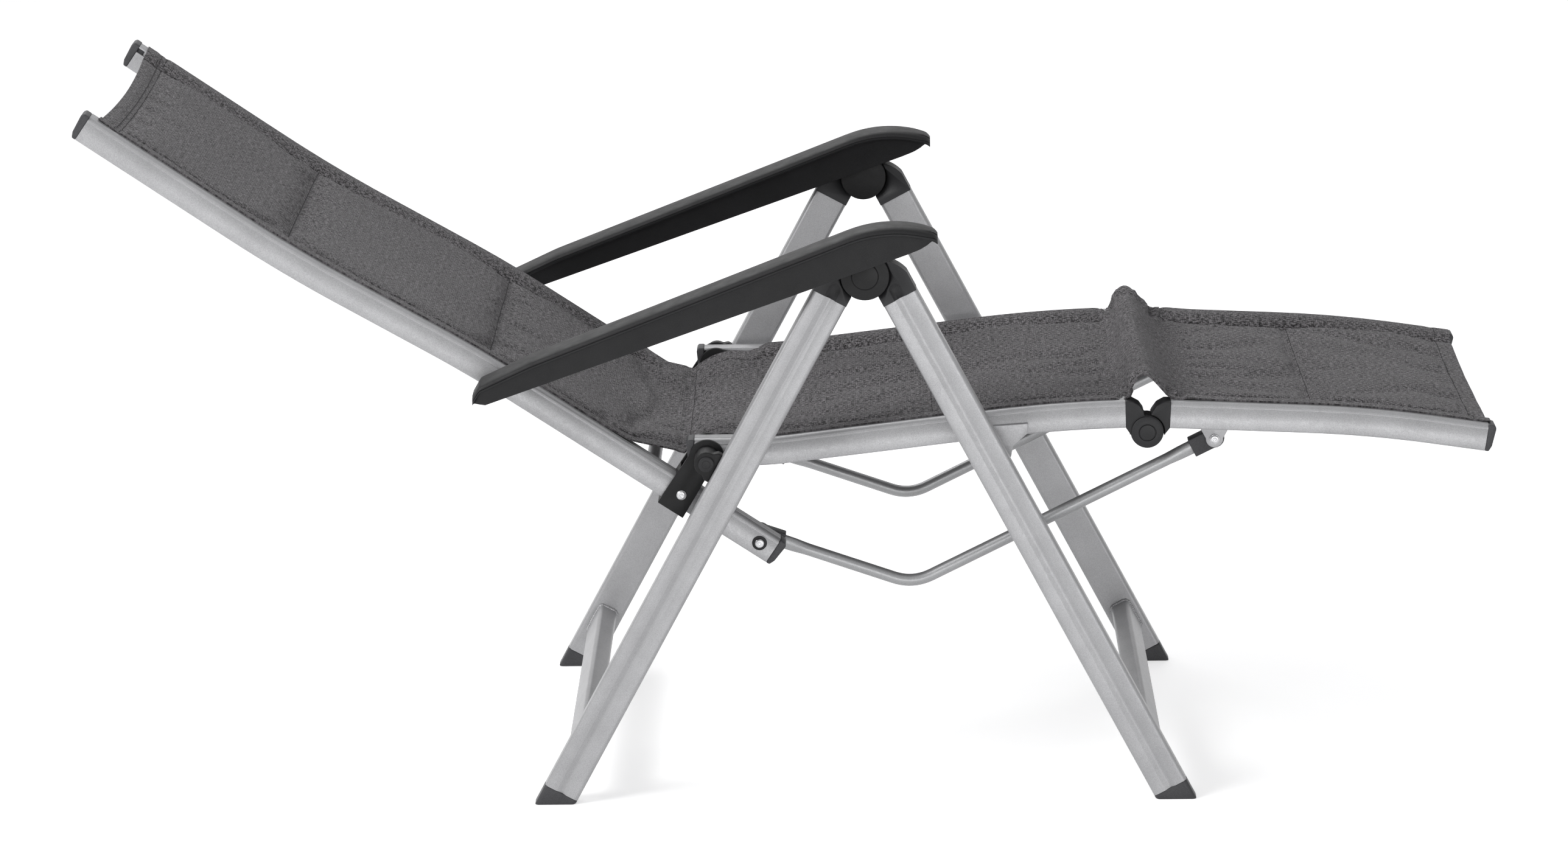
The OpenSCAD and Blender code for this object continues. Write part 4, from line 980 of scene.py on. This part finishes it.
# ------------------------------------------------------------------ what repeats
def repeater(name, shape, material):
    """A Geometry Nodes tree that sets a copy of shape on every point, turned by the
    point's own turn and scaled by its own size, with a little seeded variation."""
    tree = bpy.data.node_groups.new(name, "GeometryNodeTree")
    face = tree.interface
    face.new_socket("Geometry", in_out="INPUT", socket_type="NodeSocketGeometry")
    scale = face.new_socket("Scale", in_out="INPUT", socket_type="NodeSocketFloat")
    vary = face.new_socket("Variation", in_out="INPUT", socket_type="NodeSocketFloat")
    seed = face.new_socket("Seed", in_out="INPUT", socket_type="NodeSocketInt")
    face.new_socket("Geometry", in_out="OUTPUT", socket_type="NodeSocketGeometry")
    add, join = tree.nodes.new, tree.links.new
    entry, leave = add("NodeGroupInput"), add("NodeGroupOutput")
    info = add("GeometryNodeObjectInfo")
    info.inputs["Object"].default_value = shape
    place = add("GeometryNodeInstanceOnPoints")
    turn, size = (add("GeometryNodeInputNamedAttribute") for _ in range(2))
    for node, attribute in ((turn, "turn"), (size, "size")):
        node.data_type = "FLOAT_VECTOR"
        node.inputs["Name"].default_value = attribute
    rotation = add("FunctionNodeEulerToRotation")
    random = add("FunctionNodeRandomValue")
    random.data_type = "FLOAT"
    low, high = add("ShaderNodeMath"), add("ShaderNodeMath")
    low.operation, high.operation = "SUBTRACT", "ADD"
    low.inputs[0].default_value = high.inputs[0].default_value = 1.0
    grow, whole = add("ShaderNodeVectorMath"), add("ShaderNodeVectorMath")
    grow.operation = whole.operation = "SCALE"
    real, finish = add("GeometryNodeRealizeInstances"), add("GeometryNodeSetMaterial")
    finish.inputs["Material"].default_value = material
    join(entry.outputs["Geometry"], place.inputs["Points"])
    join(info.outputs["Geometry"], place.inputs["Instance"])
    join(turn.outputs["Attribute"], rotation.inputs[0])
    join(rotation.outputs[0], place.inputs["Rotation"])
    join(entry.outputs["Variation"], low.inputs[1])
    join(entry.outputs["Variation"], high.inputs[1])
    join(low.outputs[0], random.inputs[2])
    join(high.outputs[0], random.inputs[3])
    join(entry.outputs["Seed"], random.inputs["Seed"])
    join(size.outputs["Attribute"], grow.inputs[0])
    join(random.outputs[1], grow.inputs["Scale"])
    join(grow.outputs[0], whole.inputs[0])
    join(entry.outputs["Scale"], whole.inputs["Scale"])
    join(whole.outputs[0], place.inputs["Scale"])
    join(place.outputs[0], real.inputs[0])
    join(real.outputs[0], finish.inputs[0])
    join(finish.outputs[0], leave.inputs[0])
    return tree, (scale.identifier, vary.identifier, seed.identifier)


def repeated(name, points, shape, material, vary=0.0, seed=1, sharp_over=40):
    """points holds (place, turn, size) for each copy of the mesh shape."""
    mesh = bpy.data.meshes.new(name)
    mesh.from_pydata([p for p, _, _ in points], [], [])
    for attribute, column in (("turn", 1), ("size", 2)):
        layer = mesh.attributes.new(attribute, "FLOAT_VECTOR", "POINT")
        layer.data.foreach_set("vector", [c for point in points for c in point[column]])
    obj = bpy.data.objects.new(name, mesh)
    scene.collection.objects.link(obj)
    helper = bpy.data.objects.new(name + "_shape", shape)
    scene.collection.objects.link(helper)
    tree, (scale_id, vary_id, seed_id) = repeater(name, helper, material)
    nodes = obj.modifiers.new("repeat", "NODES")
    nodes.node_group = tree
    nodes[scale_id], nodes[vary_id], nodes[seed_id] = 1.0, vary, seed
    applied(obj)
    bpy.data.objects.remove(helper)
    shaded(obj.data, sharp_over)
    return obj


def turned(name, outline, sides):
    """A turned shape round Z through the (radius, height) points of outline."""
    return loft(name, [[(r * math.cos(math.tau * k / sides), r * math.sin(math.tau * k / sides), z)
                        for k in range(sides)] for r, z in outline])


STITCH = turned("stitch", [(0.10, -1.0), (0.34, -0.75), (0.5, -0.2), (0.5, 0.2),
                           (0.34, 0.75), (0.10, 1.0)], 6)
BEAD = turned("bead", [(0.2, -0.5), (0.42, -0.28), (0.5, 0.0), (0.42, 0.28), (0.2, 0.5)], 8)
SCREW = turned("screw_head", [(0.3, 0.0), (1.0, 0.0), (1.0, 0.12), (0.86, 0.36),
                              (0.55, 0.52), (0.34, 0.56), (0.30, 0.36), (0.04, 0.36)], 24)
RIVET = turned("rivet_head", [(0.2, 0.0), (1.0, 0.0), (1.0, 0.10), (0.88, 0.30),
                              (0.62, 0.44), (0.42, 0.40), (0.36, 0.14), (0.05, 0.10)], 28)
DISC = turned("hinge_disc", [(0.2, 0.0), (1.0, 0.0), (1.0, 0.05), (0.95, 0.09),
                             (0.56, 0.10), (0.54, 0.03), (0.50, 0.03), (0.48, 0.12),
                             (0.3, 0.15), (0.04, 0.155)], 48)


def pointing(direction, spin=(0, 1, 0)):
    """Euler turn that points a shape's Z axis along direction."""
    z = Vector(direction).normalized()
    x = Vector(spin).cross(z)
    if x.length < 1e-4:
        x = Vector((1, 0, 0)).cross(z)
    x.normalize()
    return tuple(Matrix((x, z.cross(x), z)).transposed().to_euler())


# ------------------------------------------------------------------ stitches
STITCH_WIDTH = 1.0 * MM
STITCH_SHARE = 0.66          # how much of its seam the thread covers
STITCH_LIFT = 0.1 * MM       # how far a stitch's middle is above the cloth
PAST_SEAM = 0.9              # rows of the cloth between a seam and its stitches


def grid_point(row, u, side):
    """A point just above the cloth, at a distance u from its edge on one side."""
    count = UPPER.shape[1]
    cols = FROM_EDGE[0, :(count + 1) // 2]
    column = float(np.interp(u, cols, np.arange(len(cols))))
    if side > 0:
        column = count - 1 - column
    i, k = min(int(row), len(UPPER) - 2), min(int(column), count - 2)
    down, over = row - i, column - k

    def pick(field):
        return ((field[i, k] * (1 - over) + field[i, k + 1] * over) * (1 - down)
                + (field[i + 1, k] * (1 - over) + field[i + 1, k + 1] * over) * down)

    return Vector(pick(UPPER)) + Vector(pick(NORMALS)).normalized() * STITCH_LIFT


def row_at(x):
    return float(np.interp(x, UPPER[:, 0, 0], np.arange(len(UPPER))))


def stitch_run(points):
    """Stitches laid end to end along points, as (place, turn, size)."""
    out = []
    for a, b in zip(points[::2], points[1::2]):
        run = b - a
        if run.length < 1e-5:
            continue
        out.append((tuple((a + b) / 2), pointing(run, (0.01, 0.02, 1)),
                    (STITCH_WIDTH, STITCH_WIDTH, run.length * STITCH_SHARE)))
    return out


def cross_stitches(row, u0):
    """A row of stitches across the cloth, up to a distance u0 from its edges."""
    reach = HALF - u0
    count = int(2 * reach / (2.6 * MM)) // 2 * 2
    ys = [-reach + 2 * reach * i / (count - 1) for i in range(count)]
    return stitch_run([grid_point(row, HALF - abs(y), y) for y in ys])


def side_stitches(x0, x1):
    """Rows of stitches along the edge bands, from one X to another."""
    r0, r1 = row_at(x0), row_at(x1)
    count = int((r1 - r0) * STEP / (2.8 * MM)) // 2 * 2
    rows = [r0 + (r1 - r0) * i / (count - 1) for i in range(count)]
    return [stitch for side in (-1, 1)
            for stitch in stitch_run([grid_point(row, BAND, side) for row in rows])]


HEAD_X, FOOT_X = UPPER[0, 0, 0], UPPER[-1, 0, 0]
IN_BANDS, TO_EDGE = BAND + 2 * MM, 3 * MM
back_rows = side_stitches(HEAD_X + 8 * MM, SPLIT_X - 4 * MM)
for seam in BACK_SEAMS:
    back_rows += cross_stitches(row_at(seam) + PAST_SEAM, IN_BANDS)
for hem in HEAD_HEMS:
    back_rows += cross_stitches(row_at(HEAD_X + hem), TO_EDGE)
back_rows += cross_stitches(row_at(CREASE_X) + 1.2, TO_EDGE)
back_stitches = repeated("back_stitches", back_rows, STITCH, THREAD, 0.08, 4, 80)
rest_rows = side_stitches(SPLIT_X + 4 * MM, KNEE.x - 46 * MM)
rest_rows += side_stitches(KNEE.x + 60 * MM, FOOT_X - 6 * MM)
rest_rows += cross_stitches(row_at(REST_SEAM) + PAST_SEAM, IN_BANDS)
rest_rows += cross_stitches(row_at(FOOT_X - FOOT_HEM), TO_EDGE)
rest_rows += cross_stitches(row_at(SPLIT_X) + 1.0, IN_BANDS)
rest_stitches = repeated("legrest_stitches", rest_rows, STITCH, THREAD, 0.08, 5, 80)
for stitches, ends, bodies in ((back_stitches, BACK_BLEND, ("back", "seat")),
                               (rest_stitches, KNEE_BLEND, ("seat", "legrest"))):
    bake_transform(stitches)


# ------------------------------------------------------------------ screws, rivets and welds
SCREW_SIZE = (3.4 * MM, 3.4 * MM, 3.6 * MM)
WELD_STEP = 2.6 * MM
TUBE_INSIDE = 12.4 * MM      # points nearer to a stretcher's middle line are inside it
BEAD_SIZE = (5.2 * MM, 5.2 * MM, 4.4 * MM)


def screws(name, tubes, rails):
    """Round screw heads below the rails, under the cross tubes."""
    points = []
    for tube in tubes:
        x = middle(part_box(tube)).x
        for node in nodes_like(rails):
            _, bottom = side_lines(node)
            z = float(np.interp(x, bottom[:, 0], bottom[:, 1])) + 0.1 * MM
            points.append(((x, middle(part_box(node)).y, z), (math.pi, 0, 0.3), SCREW_SIZE))
    fixed(repeated(name, points, SCREW, STEEL), body_of[tubes[0]], "steel")


screws("seat_screws", ("seat_rear_tube", "seat_front_tube"), "seat_rail_")
screws("legrest_screws", ("legrest_tube",), "legrest_rail_")


def on_outer_ends(name, node, shape, material, slot, size, sunk):
    """The shape on the outer ends of a node's pins, sunk a little into them."""
    low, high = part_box(node)
    centre = middle((low, high))
    points = [((centre.x, side * (abs(high[1]) - sunk), centre.z),
               pointing((0, side, 0), (0, 0, 1)), size) for side in (-1, 1)]
    fixed(repeated(name, points, shape, material), body_of[node], slot)


for name, node, radius in (("bracket_rivet_heads", "bracket_rivets", 5.6 * MM),
                           ("rod_rivet_heads", "rod_rivets", 5.4 * MM),
                           ("link_rivet_heads", "link_bracket_rivets", 5.4 * MM)):
    on_outer_ends(name, node, RIVET, STEEL, "steel", (radius, radius, 0.7 * radius), 0.2 * MM)
for name, node, radius, sunk in (
        ("knee_discs", "knee_pins", 19.2 * MM, 1.2 * MM),
        ("seat_hinge_buttons", "seat_hinge_pins", 9.4 * MM, 0.8 * MM)):
    on_outer_ends(name, node, DISC, COVER, "moulding", (radius,) * 3, sunk)


def weld(node):
    """Overlapping weld beads round both ends of a stretcher."""
    low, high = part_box(node)
    points = []
    for y in (low[1], high[1]):
        ring = [v.co for v in NODES[node].data.vertices if abs(v.co.y - y) < 1e-5]
        centre = sum((Vector(c) for c in ring), Vector()) / len(ring)
        reach = {}
        for c in ring:
            key = round(math.atan2(c.z - centre.z, c.x - centre.x), 3)
            far = math.hypot(c.x - centre.x, c.z - centre.z)
            reach[key] = max(reach.get(key, 0), far)
        loop = [Vector((centre.x + r * math.cos(a), y, centre.z + r * math.sin(a)))
                for a, r in sorted(reach.items()) if r > TUBE_INSIDE]
        loop.append(loop[0])
        length = [0.0]
        for p, q in zip(loop, loop[1:]):
            length.append(length[-1] + (q - p).length)
        count = int(length[-1] / WELD_STEP)
        for i in range(count):
            at = length[-1] * i / count
            k = max(j for j in range(len(loop) - 1) if length[j] <= at + 1e-9)
            share = (at - length[k]) / max(length[k + 1] - length[k], 1e-9)
            place = loop[k].lerp(loop[k + 1], share)
            inset = 1.0 * MM if y < 0 else -1.0 * MM
            points.append(((place.x, place.y + inset, place.z),
                           pointing(loop[k + 1] - loop[k]), BEAD_SIZE))
    fixed(repeated(node + "_weld", points, BEAD, METAL, 0.12, 9, 80), body_of[node],
          "frame_metal")


weld("rear_stretcher")
weld("front_stretcher")


# ------------------------------------------------------------------ end
scene.view_settings.view_transform = "Standard"
